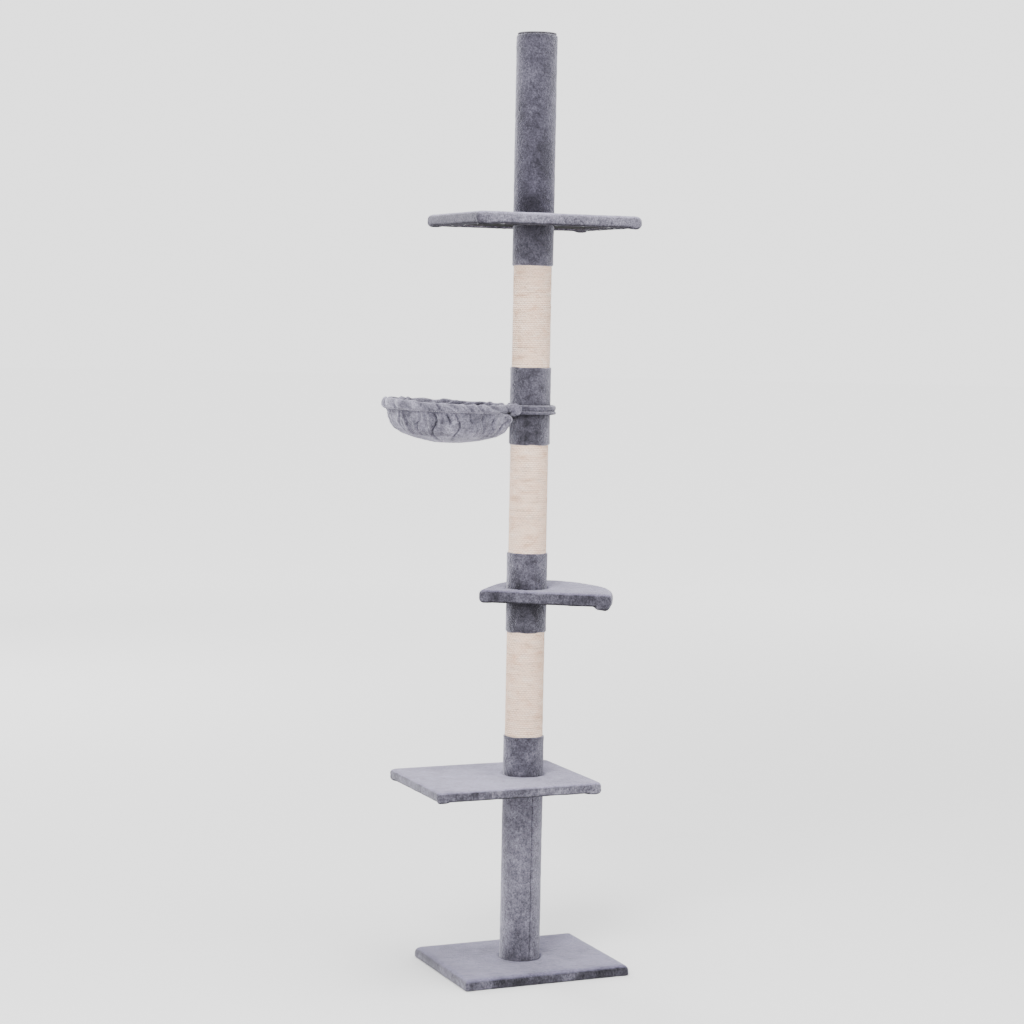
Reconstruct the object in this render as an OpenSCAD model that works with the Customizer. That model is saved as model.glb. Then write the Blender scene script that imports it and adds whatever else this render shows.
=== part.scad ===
// Floor-to-ceiling cat tree: one column of five equal posts on a base, with
// two rectangular platforms, one half-round platform, a hanging hammock and a
// top post that screws out against the ceiling. Millimetres, +Z up. The origin
// is on the floor, on the axis of the column.

/* [Posts] */
// Length of one post (all five are equal)
post_l = 436; // [400:1:460]
// Outer radius of the cardboard tube
tube_r = 42; // [38:0.5:44]
// Wall thickness of the cardboard tube
tube_wall = 4; // [3:0.5:6]
// Thickness of the plush round a post
plush_t = 7.5; // [5:0.5:9]
// Thickness of the sisal winding
rope_t = 5; // [4:0.5:6]
// Height of the wooden plug in each tube end
plug_h = 30; // [20:1:40]
// Sisal of the second post, lower and upper end above its foot
sisal2 = [101, 357]; // [60:1:400]
// Sisal of the third post, lower and upper end above its foot
sisal3 = [92, 355]; // [60:1:400]
// Sisal of the fourth post, lower and upper end above its foot
sisal4 = [95, 339]; // [60:1:400]

/* [Base and rectangular platforms] */
// Length of the covered base and platforms
plate_w = 428; // [400:1:440]
// Depth of the covered base and platforms
plate_d = 336; // [310:1:350]
// Thickness of the boards
board_t = 15; // [12:1:18]
// Thickness of the plush at the edges of a board
edge_t = 7; // [5:0.5:8]
// Thickness of the base's plush, on top and in the hem
base_t = [8, 5]; // [4:0.5:10]
// Length of the covered base
base_w = 432; // [400:1:440]
// Depth of the covered base
base_d = 342; // [310:1:350]
// How far the base's middle lies to the right of the column
base_x = 7; // [-10:1:10]
// How far the base's middle lies behind the column
base_y = 9; // [-10:1:15]
// Corner radius of the covered base
base_r = 8; // [4:1:30]
// How deep the first post's foot sinks into the plush
base_sink = 2; // [1:0.5:5]
// Thickness of the lower platform's plush, on top and in the hem
low_t = [7, 4]; // [4:0.5:9]
// Thickness of the upper platform's plush, on top and in the hem
high_t = [9, 5]; // [4:0.5:10]
// Width of the hem under a board
hem_w = 38; // [25:1:45]
// Corner radius of a covered board
corner_r = 16; // [8:1:30]
// How far the lower platform is set off to the left
platform1_off = -75; // [-90:1:0]
// How deep a post's foot sinks into the plush
sink = 4; // [2:0.5:5]

/* [Half-round platform] */
// Half of the straight front edge
d_half = 161; // [150:1:175]
// Depth from the straight edge to the round back
d_depth = 238; // [220:1:260]
// Thickness of its plush, on top and in the hem
half_t = [11, 7]; // [6:0.5:12]
// Turn of the platform about the column
d_turn = -34.5; // [-180:0.5:180]
// How far the middle of the straight edge lies to the right of the column
d_side = 56; // [30:1:60]
// How far the straight edge lies in front of the column
d_front = 70; // [58:1:90]

/* [Hammock] */
// Direction of the hammock about the column
ham_turn = 162; // [0:1:360]
// Radius of the big wire ring
ring_r = 148; // [140:1:155]
// Radius of the small wire loop round the column
loop_r = 56; // [56:0.5:58]
// Radius of the wire
wire_r = 4; // [3:0.5:4]
// Radius of the plush casing on the big ring
casing_r = 8.5; // [7.5:0.5:10]
// Upward tilt of the big ring, degrees
ring_tilt = 1.5; // [0:0.5:2]
// Thickness of the pouch
pouch_t = 5; // [3:0.5:6]

/* [Ceiling screw] */
// Radius of the threaded rod
rod_r = 8; // [6:0.5:9]
// Length of the threaded rod
rod_l = 466; // [440:1:470]

/* [Hidden] */
$fn = 96;
PLUSH = [0.46, 0.45, 0.49];
PLUSH_L = [0.58, 0.57, 0.61];
SISAL = [0.84, 0.79, 0.75];
WOOD = [0.78, 0.63, 0.44];
CARD = [0.62, 0.50, 0.37];
STEEL = [0.66, 0.67, 0.69];
DARK = [0.16, 0.16, 0.17];
plush_r = tube_r + plush_t;
sisal_r = tube_r + rope_t;
bore_r = tube_r - tube_wall;
stud_r = 4;
hole_r = 4.08;
head_r = 6.5;
clear = 0.3;
disc_h = 12;
lining_t = 1;
// heights of the posts' feet and of the plates, from the floor up
base_hem = base_t[1];
low_hem = low_t[1];
half_hem = half_t[1];
high_hem = high_t[1];
base_top = base_hem + board_t + base_t[0];
p1_z = base_top - base_sink;
pl1_z = p1_z + post_l - (low_hem - lining_t);
pl1_top = pl1_z + low_hem + board_t + low_t[0];
p2_z = pl1_top - sink;
pl2_z = p2_z + post_l - (half_hem - lining_t);
pl2_top = pl2_z + half_hem + board_t + half_t[0];
p3_z = pl2_top - sink;
disc_z = p3_z + post_l;
p4_z = disc_z + disc_h;
ham_z = disc_z + disc_h / 2;
pl3_z = p4_z + post_l - (high_hem - lining_t);
pl3_top = pl3_z + high_hem + board_t + high_t[0];
p5_z = pl3_top - sink;
// the top post
top_edge = 6;
plush5_top = p5_z + post_l - 2;
nut5_z = p5_z + 34;
rod_z = p4_z + post_l - 62;

// rectangle with round corners, its middle at the origin
module rrect(w, d, r) {
  union() {
    square([w - 2 * r, d], center = true);
    square([w, d - 2 * r], center = true);
    for (x = [-1, 1], y = [-1, 1]) translate([x * (w / 2 - r), y * (d / 2 - r)]) circle(r, $fn = 32);
  }
}
// half ellipse with a straight front edge, set in from its outline by e
function d_points(e) = [for (i = [0 : 32]) let (t = 180 * i / 32)
  [(d_half - e) * cos(t), e + (d_depth - 2 * e) * sin(t)]];
module d_shape(e) {
  rotate(d_turn) translate([d_side, -d_front]) polygon(d_points(e));
}
module pipe(r_out, r_in, h) {
  difference() {
    cylinder(r = r_out, h = h);
    translate([0, 0, -1]) cylinder(r = r_in, h = h + 2);
  }
}
// a soft slab: full outline in the middle, drawn in by e at both faces
module soft_rect(w, d, r, h, e) {
  hull() {
    translate([0, 0, e]) linear_extrude(h - 2 * e) rrect(w, d, r);
    linear_extrude(h) rrect(w - 2 * e, d - 2 * e, r);
  }
}
module soft_d(h, e) {
  hull() {
    translate([0, 0, e]) linear_extrude(h - 2 * e) d_shape(0);
    linear_extrude(h) d_shape(e);
  }
}
// plush cover of a rectangular platform, with its hem turned under
module rect_cover(z, x, hem, top, w = plate_w, d = plate_d, y = 0, r = corner_r, foot = sink, e = 5) {
  h = hem + board_t + top;
  translate([0, 0, z]) difference() {
    translate([x, y, 0]) soft_rect(w, d, r, h, e);
    translate([x, y, hem]) linear_extrude(board_t) rrect(w - 2 * edge_t, d - 2 * edge_t, 9);
    translate([x, y, -1]) linear_extrude(hem + 2) rrect(w - 2 * edge_t - 2 * hem_w, d - 2 * edge_t - 2 * hem_w, 9);
    translate([0, 0, h - foot]) cylinder(r = plush_r + clear, h = foot + 1);
    cylinder(r = 9, h = h + 1);
  }
}
module rect_board(z, x, w = plate_w, d = plate_d, y = 0) {
  translate([0, 0, z]) difference() {
    translate([x, y, 0]) linear_extrude(board_t) rrect(w - 2 * edge_t, d - 2 * edge_t, 9);
    translate([0, 0, -1]) cylinder(r = hole_r, h = board_t + 2);
  }
}
module rect_lining(z, x) {
  translate([0, 0, z - lining_t]) difference() {
    translate([x, 0, 0]) linear_extrude(lining_t) rrect(plate_w - 2 * edge_t - 2 * hem_w - 1, plate_d - 2 * edge_t - 2 * hem_w - 1, 8.5);
    translate([0, 0, -1]) cylinder(r = 9, h = lining_t + 2);
  }
}
module staple() { translate([-5, -0.7, -0.8]) cube([10, 1.4, 0.8]); }
module rect_staples(z, x) {
  w = plate_w / 2 - edge_t - hem_w + 10;
  d = plate_d / 2 - edge_t - hem_w + 10;
  translate([x, 0, z]) union() {
    for (i = [-2 : 2], s = [-1, 1]) translate([i * w / 2.6, s * d, 0]) rotate(i * 7) staple();
    for (i = [-1 : 1], s = [-1, 1]) translate([s * w, i * d / 1.7, 0]) rotate(90 + i * 9) staple();
  }
}
module tube(z) { color(CARD) translate([0, 0, z]) pipe(tube_r, bore_r, post_l); }
module plug(z) { color(WOOD) translate([0, 0, z]) pipe(bore_r, stud_r, plug_h); }
module collar(z, h) { color(PLUSH) translate([0, 0, z]) pipe(plush_r, tube_r, h); }
module sisal(z, s) { color(SISAL) translate([0, 0, z + s[0]]) pipe(sisal_r, tube_r, s[1] - s[0]); }
module stud(z0, z1) { color(STEEL) translate([0, 0, z0]) cylinder(r = stud_r, h = z1 - z0); }
module nut(r, af, h) {
  difference() {
    cylinder(r = af / sqrt(3), h = h, $fn = 6);
    translate([0, 0, -1]) cylinder(r = r, h = h + 2);
  }
}

// ---- base
module base_board() {
  color(WOOD) difference() {
    rect_board(base_hem, base_x, base_w, base_d, base_y);
    translate([0, 0, base_hem - 1]) cylinder(r = 15.5, h = 6);
  }
}
module base_cover() { color(PLUSH_L) rect_cover(0, base_x, base_hem, base_t[0], base_w, base_d, base_y, base_r, base_sink, 6); }
// felt pad inside the hem, flush with it, so that the base stands flat
module base_pad() {
  color(DARK) difference() {
    translate([base_x, base_y, 0]) linear_extrude(base_hem) rrect(base_w - 2 * edge_t - 2 * hem_w - 1, base_d - 2 * edge_t - 2 * hem_w - 1, 8.5);
    translate([0, 0, 3]) cylinder(r = 15.5, h = base_hem);
  }
}
module base_washer() { color(STEEL) translate([0, 0, base_hem + 3]) pipe(15, hole_r, 2); }
module base_bolt() {
  color(STEEL) union() {
    translate([0, 0, base_hem - 2]) cylinder(r = head_r * 2 / sqrt(3), h = 5, $fn = 6);
    translate([0, 0, base_hem - 2]) cylinder(r = stud_r, h = p1_z + plug_h - base_hem);
  }
}

// ---- post 1, plush all over
module post1_tube() { tube(p1_z); }
module post1_plug_low() { plug(p1_z); }
module post1_plug_high() { plug(p1_z + post_l - plug_h); }
module post1_plush() { collar(p1_z, post_l); }

// ---- lower platform, set off to one side
module platform1_board() { color(WOOD) rect_board(pl1_z + low_hem, platform1_off); }
module platform1_cover() { color(PLUSH_L) rect_cover(pl1_z, platform1_off, low_hem, low_t[0]); }
module platform1_lining() { color(DARK) rect_lining(pl1_z + low_hem, platform1_off); }
module platform1_staples() { color(STEEL) rect_staples(pl1_z, platform1_off); }
module stud1() { stud(p2_z - 48, p2_z + 24); }

// ---- post 2
module post2_tube() { tube(p2_z); }
module post2_plug_low() { plug(p2_z); }
module post2_plug_high() { plug(p2_z + post_l - plug_h); }
module post2_collar_low() { collar(p2_z, sisal2[0]); }
module post2_sisal() { sisal(p2_z, sisal2); }
module post2_collar_high() { collar(p2_z + sisal2[1], post_l - sisal2[1]); }

// ---- half-round platform
module platform2_board() {
  color(WOOD) translate([0, 0, pl2_z + half_hem]) difference() {
    linear_extrude(board_t) d_shape(edge_t);
    translate([0, 0, -1]) cylinder(r = hole_r, h = board_t + 2);
  }
}
module platform2_cover() {
  h = half_hem + board_t + half_t[0];
  color(PLUSH_L) translate([0, 0, pl2_z]) difference() {
    soft_d(h, 5);
    translate([0, 0, half_hem]) linear_extrude(board_t) d_shape(edge_t);
    translate([0, 0, -1]) linear_extrude(half_hem + 2) d_shape(edge_t + 30);
    translate([0, 0, -1]) cylinder(r = plush_r + clear, h = half_hem + 1 + clear);
    translate([0, 0, h - sink]) cylinder(r = plush_r + clear, h = sink + 1);
    cylinder(r = 9, h = h + 1);
  }
}
module platform2_lining() {
  color(DARK) translate([0, 0, pl2_z + half_hem - lining_t]) difference() {
    linear_extrude(lining_t) union() {
      d_shape(edge_t + 30.5);
      circle(r = plush_r - 0.5);
    }
    translate([0, 0, -1]) cylinder(r = 9, h = lining_t + 2);
  }
}
module platform2_staples() {
  e = edge_t + 20;
  color(STEEL) translate([0, 0, pl2_z]) rotate(d_turn) translate([d_side, -d_front, 0]) union() {
    for (i = [0 : 8]) let (t = 22 + 17 * i, a = d_half - e, b = d_depth - 2 * e)
      translate([a * cos(t), e + b * sin(t), 0]) rotate(atan2(b * cos(t), -a * sin(t))) staple();
    for (x = [-118, 18, 62, 108]) translate([x, e - 6, 0]) rotate(x / 20) staple();
  }
}
module stud2() { stud(p3_z - 50, p3_z + 24); }

// ---- post 3
module post3_tube() { tube(p3_z); }
module post3_plug_low() { plug(p3_z); }
module post3_plug_high() { plug(p3_z + post_l - plug_h); }
module post3_collar_low() { collar(p3_z, sisal3[0]); }
module post3_sisal() { sisal(p3_z, sisal3); }
module post3_collar_high() { collar(p3_z + sisal3[1], post_l - sisal3[1]); }

// ---- joint of posts 3 and 4, with the grooved disc that carries the hammock
module stud3() { stud(disc_z - 24, p4_z + 24); }
module clamp_disc() {
  color(WOOD) difference() {
    translate([0, 0, disc_z]) cylinder(r = loop_r - 1.5, h = disc_h);
    translate([0, 0, disc_z - 1]) cylinder(r = hole_r, h = disc_h + 2);
    translate([0, 0, ham_z]) rotate_extrude() translate([loop_r, 0]) circle(wire_r + clear, $fn = 48);
  }
}

// ---- hammock: two welded wire rings, casing, pouch and loop sleeve
module ham_place() { translate([0, 0, ham_z]) rotate(ham_turn) children(); }
module ring_place() {
  translate([loop_r, 0, 0]) rotate([0, -ring_tilt, 0]) translate([ring_r, 0, 0]) children();
}
module hammock_frame() {
  color(STEEL) ham_place() union() {
    rotate_extrude() translate([loop_r, 0]) circle(wire_r, $fn = 48);
    ring_place() rotate_extrude() translate([ring_r, 0]) circle(wire_r, $fn = 48);
  }
}
sleeve_r = loop_r + 7;
module hammock_casing() {
  color(PLUSH) ham_place() difference() {
    ring_place() rotate_extrude() difference() {
      translate([ring_r, 0]) circle(casing_r, $fn = 48);
      translate([ring_r, 0]) circle(wire_r, $fn = 48);
    }
    translate([0, 0, -30]) cylinder(r = sleeve_r + 0.1, h = 60);
  }
}
// outline of the pouch, from its rim in to the middle of its floor
pouch_out = [[ring_r, -casing_r], [146, -24], [139, -40], [125, -55], [104, -67], [74, -76], [36, -84], [0, -87]];
pouch_in = [for (i = [len(pouch_out) - 1 : -1 : 0]) let (p = pouch_out[i])
  [p[0] == 0 ? 0 : p[0] - pouch_t, i == 0 ? p[1] : p[1] + pouch_t]];
module hammock_pouch() {
  color(PLUSH) ham_place() difference() {
    ring_place() rotate_extrude() polygon(concat(pouch_out, pouch_in));
    translate([0, 0, -30]) cylinder(r = sleeve_r + 0.1, h = 60);
  }
}
module hammock_loop_sleeve() {
  color(PLUSH) ham_place() difference() {
    rotate_extrude() difference() {
      translate([plush_r + 0.4, -13]) square([sleeve_r - plush_r - 0.4, 25]);
      translate([0, -disc_h / 2 - clear]) square([loop_r - 1.5 + clear, disc_h + 2 * clear]);
      translate([loop_r, 0]) circle(wire_r, $fn = 48);
    }
    // the big ring's wire leaves the sleeve through this window
    translate([40, -34, -4.8]) cube([40, 68, 9.8]);
  }
}

// ---- post 4
module post4_tube() { tube(p4_z); }
module post4_plug_low() { plug(p4_z); }
module post4_plug_high() { color(WOOD) translate([0, 0, p4_z + post_l - plug_h]) pipe(bore_r, rod_r, plug_h); }
module post4_collar_low() { collar(p4_z, sisal4[0]); }
module post4_sisal() { sisal(p4_z, sisal4); }
module post4_collar_high() { collar(p4_z + sisal4[1], post_l - sisal4[1]); }

// ---- upper platform
module platform3_board() {
  color(WOOD) translate([0, 0, pl3_z + high_hem]) difference() {
    linear_extrude(board_t) rrect(plate_w - 2 * edge_t, plate_d - 2 * edge_t, 9);
    translate([0, 0, -1]) cylinder(r = rod_r + 0.08, h = board_t + 2);
  }
}
module platform3_cover() {
  color(PLUSH_L) difference() {
    rect_cover(pl3_z, 0, high_hem, high_t[0]);
    translate([0, 0, pl3_z + high_hem + board_t]) cylinder(r = 18, h = 20);
    translate([0, 0, pl3_z - 1]) cylinder(r = 12, h = high_hem + 2);
  }
}
module platform3_lining() { color(DARK) difference() {
  rect_lining(pl3_z + high_hem, 0);
  translate([0, 0, pl3_z]) cylinder(r = 12, h = high_hem + 2);
} }
module platform3_staples() { color(STEEL) rect_staples(pl3_z, 0); }

// ---- ceiling screw: a rod fixed in post 4, with the top post running on it
module threaded_rod() { color(STEEL) translate([0, 0, rod_z]) cylinder(r = rod_r, h = rod_l); }
module rod_nut_low() { color(STEEL) translate([0, 0, p4_z + post_l - plug_h - 13]) nut(rod_r, 24, 13); }
module rod_washer() { color(STEEL) translate([0, 0, pl3_z + high_hem + board_t]) pipe(15, rod_r + 0.1, 2.5); }
module lock_nut() { color(STEEL) translate([0, 0, pl3_z + high_hem + board_t + 2.5]) nut(rod_r, 24, 10); }

// ---- top post
module top_tube() { color(CARD) translate([0, 0, p5_z]) pipe(tube_r, bore_r, post_l - 14); }
module top_plug_low() {
  color(WOOD) translate([0, 0, p5_z + 22]) difference() {
    cylinder(r = bore_r, h = plug_h);
    translate([0, 0, -1]) cylinder(r = rod_r + 1.5, h = plug_h + 2);
    translate([0, 0, 12]) cylinder(r = 24 / sqrt(3), h = plug_h, $fn = 6);
  }
}
module captive_nut() { color(STEEL) translate([0, 0, nut5_z]) nut(rod_r + 0.05, 24, 16); }
module top_plug_high() {
  color(WOOD) translate([0, 0, p5_z + post_l - 14 - plug_h]) difference() {
    cylinder(r = bore_r, h = plug_h);
    translate([0, 0, -1]) cylinder(r = 5.05, h = plug_h + 2);
  }
}
// plush sleeve, turned in over the tube's top end
module top_plush() {
  h = plush5_top - p5_z;
  color(PLUSH) translate([0, 0, p5_z]) rotate_extrude() difference() {
    union() {
      square([plush_r, h - top_edge]);
      translate([0, h - top_edge]) square([plush_r - top_edge, top_edge]);
      translate([plush_r - top_edge, h - top_edge]) circle(top_edge, $fn = 64);
    }
    translate([-1, -1]) square([tube_r + 1, post_l - 13]);
    translate([-1, -1]) square([38, post_l + 20]);
  }
}
// pad that bears on the ceiling; the post turns under it
module pad_disc() {
  color(WOOD) translate([0, 0, p5_z + post_l - 14]) difference() {
    cylinder(r = 36, h = 13);
    translate([0, 0, -1]) cylinder(r = 5, h = 20);
    translate([0, 0, 6]) cylinder(r = 10, h = 20);
  }
}
module pad_rubber() { color(DARK) translate([0, 0, p5_z + post_l - 1]) cylinder(r = 47, h = 3); }
module pad_bolt() {
  color(STEEL) translate([0, 0, p5_z + post_l - 8]) union() {
    cylinder(r = 9, h = 5);
    translate([0, 0, -42]) cylinder(r = 5, h = 43);
    translate([0, 0, -42.0]) cylinder(r = 10, h = 5.8);
  }
}

base_board();
base_cover();
base_pad();
base_washer();
base_bolt();
post1_tube();
post1_plug_low();
post1_plug_high();
post1_plush();
platform1_board();
platform1_cover();
platform1_lining();
platform1_staples();
stud1();
post2_tube();
post2_plug_low();
post2_plug_high();
post2_collar_low();
post2_sisal();
post2_collar_high();
platform2_board();
platform2_cover();
platform2_lining();
platform2_staples();
stud2();
post3_tube();
post3_plug_low();
post3_plug_high();
post3_collar_low();
post3_sisal();
post3_collar_high();
stud3();
clamp_disc();
hammock_frame();
hammock_casing();
hammock_pouch();
hammock_loop_sleeve();
post4_tube();
post4_plug_low();
post4_plug_high();
post4_collar_low();
post4_sisal();
post4_collar_high();
platform3_board();
platform3_cover();
platform3_lining();
platform3_staples();
threaded_rod();
rod_nut_low();
rod_washer();
lock_nut();
top_tube();
top_plug_low();
top_plug_high();
captive_nut();
top_plush();
pad_disc();
pad_rubber();
pad_bolt();
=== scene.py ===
import bmesh, bpy, math
import numpy as np
from mathutils import Matrix, Vector


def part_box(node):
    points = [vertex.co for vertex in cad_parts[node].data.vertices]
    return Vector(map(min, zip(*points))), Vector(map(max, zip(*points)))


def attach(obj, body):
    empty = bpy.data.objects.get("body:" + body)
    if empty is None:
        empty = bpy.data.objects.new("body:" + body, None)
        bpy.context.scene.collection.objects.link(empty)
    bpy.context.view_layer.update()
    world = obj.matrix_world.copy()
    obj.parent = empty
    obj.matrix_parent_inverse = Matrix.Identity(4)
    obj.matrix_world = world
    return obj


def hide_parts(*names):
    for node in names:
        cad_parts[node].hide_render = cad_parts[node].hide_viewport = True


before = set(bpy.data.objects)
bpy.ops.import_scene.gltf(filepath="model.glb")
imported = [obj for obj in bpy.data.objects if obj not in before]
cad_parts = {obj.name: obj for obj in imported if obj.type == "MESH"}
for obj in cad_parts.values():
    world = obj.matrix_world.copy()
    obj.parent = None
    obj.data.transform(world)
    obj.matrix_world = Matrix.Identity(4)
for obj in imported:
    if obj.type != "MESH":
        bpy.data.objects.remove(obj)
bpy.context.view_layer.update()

MM = 0.001
RES = 1.0

# ------------------------------------------------------------------ noise
def _hash(i, j, k, seed):
    m = np.uint64(0xFFFFFFFF)
    h = (i.astype(np.int64).astype(np.uint64) * np.uint64(374761393)) & m
    h = (h + (j.astype(np.int64).astype(np.uint64) * np.uint64(668265263) & m)) & m
    h = (h + (k.astype(np.int64).astype(np.uint64) * np.uint64(2246822519) & m)) & m
    h = (h + np.uint64((seed * 1274126177) & 0xFFFFFFFF)) & m
    h = ((h ^ (h >> np.uint64(15))) * np.uint64(2246822519)) & m
    h = ((h ^ (h >> np.uint64(13))) * np.uint64(3266489917)) & m
    h = h ^ (h >> np.uint64(16))
    return h.astype(np.float64) / 0xFFFFFFFF * 2 - 1


def vnoise(P, size, seed=0):
    """Smooth value noise in [-1, 1]; size is the feature size in the units of P."""
    Q = np.asarray(P, float) / size + 57.31
    I = np.floor(Q)
    F = Q - I
    F = F * F * F * (F * (F * 6 - 15) + 10)
    out = 0
    for a in (0, 1):
        for b in (0, 1):
            for c in (0, 1):
                w = (F[..., 0] if a else 1 - F[..., 0]) * (F[..., 1] if b else 1 - F[..., 1]) * (F[..., 2] if c else 1 - F[..., 2])
                out = out + w * _hash(I[..., 0] + a, I[..., 1] + b, I[..., 2] + c, seed)
    return out


def fbm(P, size, octaves=3, seed=0):
    out, amp, tot = 0, 1.0, 0
    for o in range(octaves):
        out = out + amp * vnoise(P, size, seed + 17 * o)
        tot += amp
        amp *= 0.5
        size *= 0.5
    return out / tot


def sstep(a, b, x):
    t = np.clip((x - a) / (b - a), 0, 1)
    return t * t * (3 - 2 * t)

# ------------------------------------------------------------------ materials
def new_mat(name):
    m = bpy.data.materials.new(name)
    m.use_nodes = True
    nt = m.node_tree
    nt.nodes.clear()
    out = nt.nodes.new("ShaderNodeOutputMaterial")
    b = nt.nodes.new("ShaderNodeBsdfPrincipled")
    nt.links.new(b.outputs[0], out.inputs[0])
    return m, nt, b


def node(nt, kind, **kw):
    n = nt.nodes.new(kind)
    for k, v in kw.items():
        if k in n.inputs.keys() if hasattr(n.inputs, "keys") else False:
            n.inputs[k].default_value = v
        else:
            setattr(n, k, v)
    return n


def lin(c):
    return tuple((x / 12.92 if x <= 0.04045 else ((x + 0.055) / 1.055) ** 2.4) for x in c) + (1.0,)


def coords(nt, uv=False):
    tc = nt.nodes.new("ShaderNodeTexCoord")
    return tc.outputs["UV" if uv else "Object"]


def noise(nt, vec, scale, detail=3, rough=0.55, distort=0.0, squash=None):
    if squash:
        mp = nt.nodes.new("ShaderNodeMapping")
        mp.inputs["Scale"].default_value = squash
        nt.links.new(vec, mp.inputs[0])
        vec = mp.outputs[0]
    n = nt.nodes.new("ShaderNodeTexNoise")
    n.inputs["Scale"].default_value = scale
    n.inputs["Detail"].default_value = detail
    n.inputs["Roughness"].default_value = rough
    n.inputs["Distortion"].default_value = distort
    nt.links.new(vec, n.inputs["Vector"])
    return n.outputs["Fac"]


def ramp(nt, fac, stops):
    r = nt.nodes.new("ShaderNodeValToRGB")
    r.color_ramp.interpolation = "EASE"
    el = r.color_ramp.elements
    while len(el) < len(stops):
        el.new(0.5)
    for e, (p, c) in zip(el, stops):
        e.position = p
        e.color = c
    nt.links.new(fac, r.inputs[0])
    return r.outputs[0]


def mix(nt, fac, a, b, mode="MIX"):
    m = nt.nodes.new("ShaderNodeMix")
    m.data_type = "RGBA"
    m.blend_type = mode
    for s, v in ((m.inputs[0], fac), (m.inputs[6], a), (m.inputs[7], b)):
        if hasattr(v, "links") or isinstance(v, bpy.types.NodeSocket):
            nt.links.new(v, s)
        else:
            s.default_value = v
    return m.outputs[2]


def bump(nt, bsdf, layers):
    """layers: (height socket, strength, distance), stacked."""
    prev = None
    for h, s, d in layers:
        b = nt.nodes.new("ShaderNodeBump")
        b.inputs["Strength"].default_value = s
        b.inputs["Distance"].default_value = d
        nt.links.new(h, b.inputs["Height"])
        if prev is not None:
            nt.links.new(prev, b.inputs["Normal"])
        prev = b.outputs[0]
    nt.links.new(prev, bsdf.inputs["Normal"])


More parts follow.
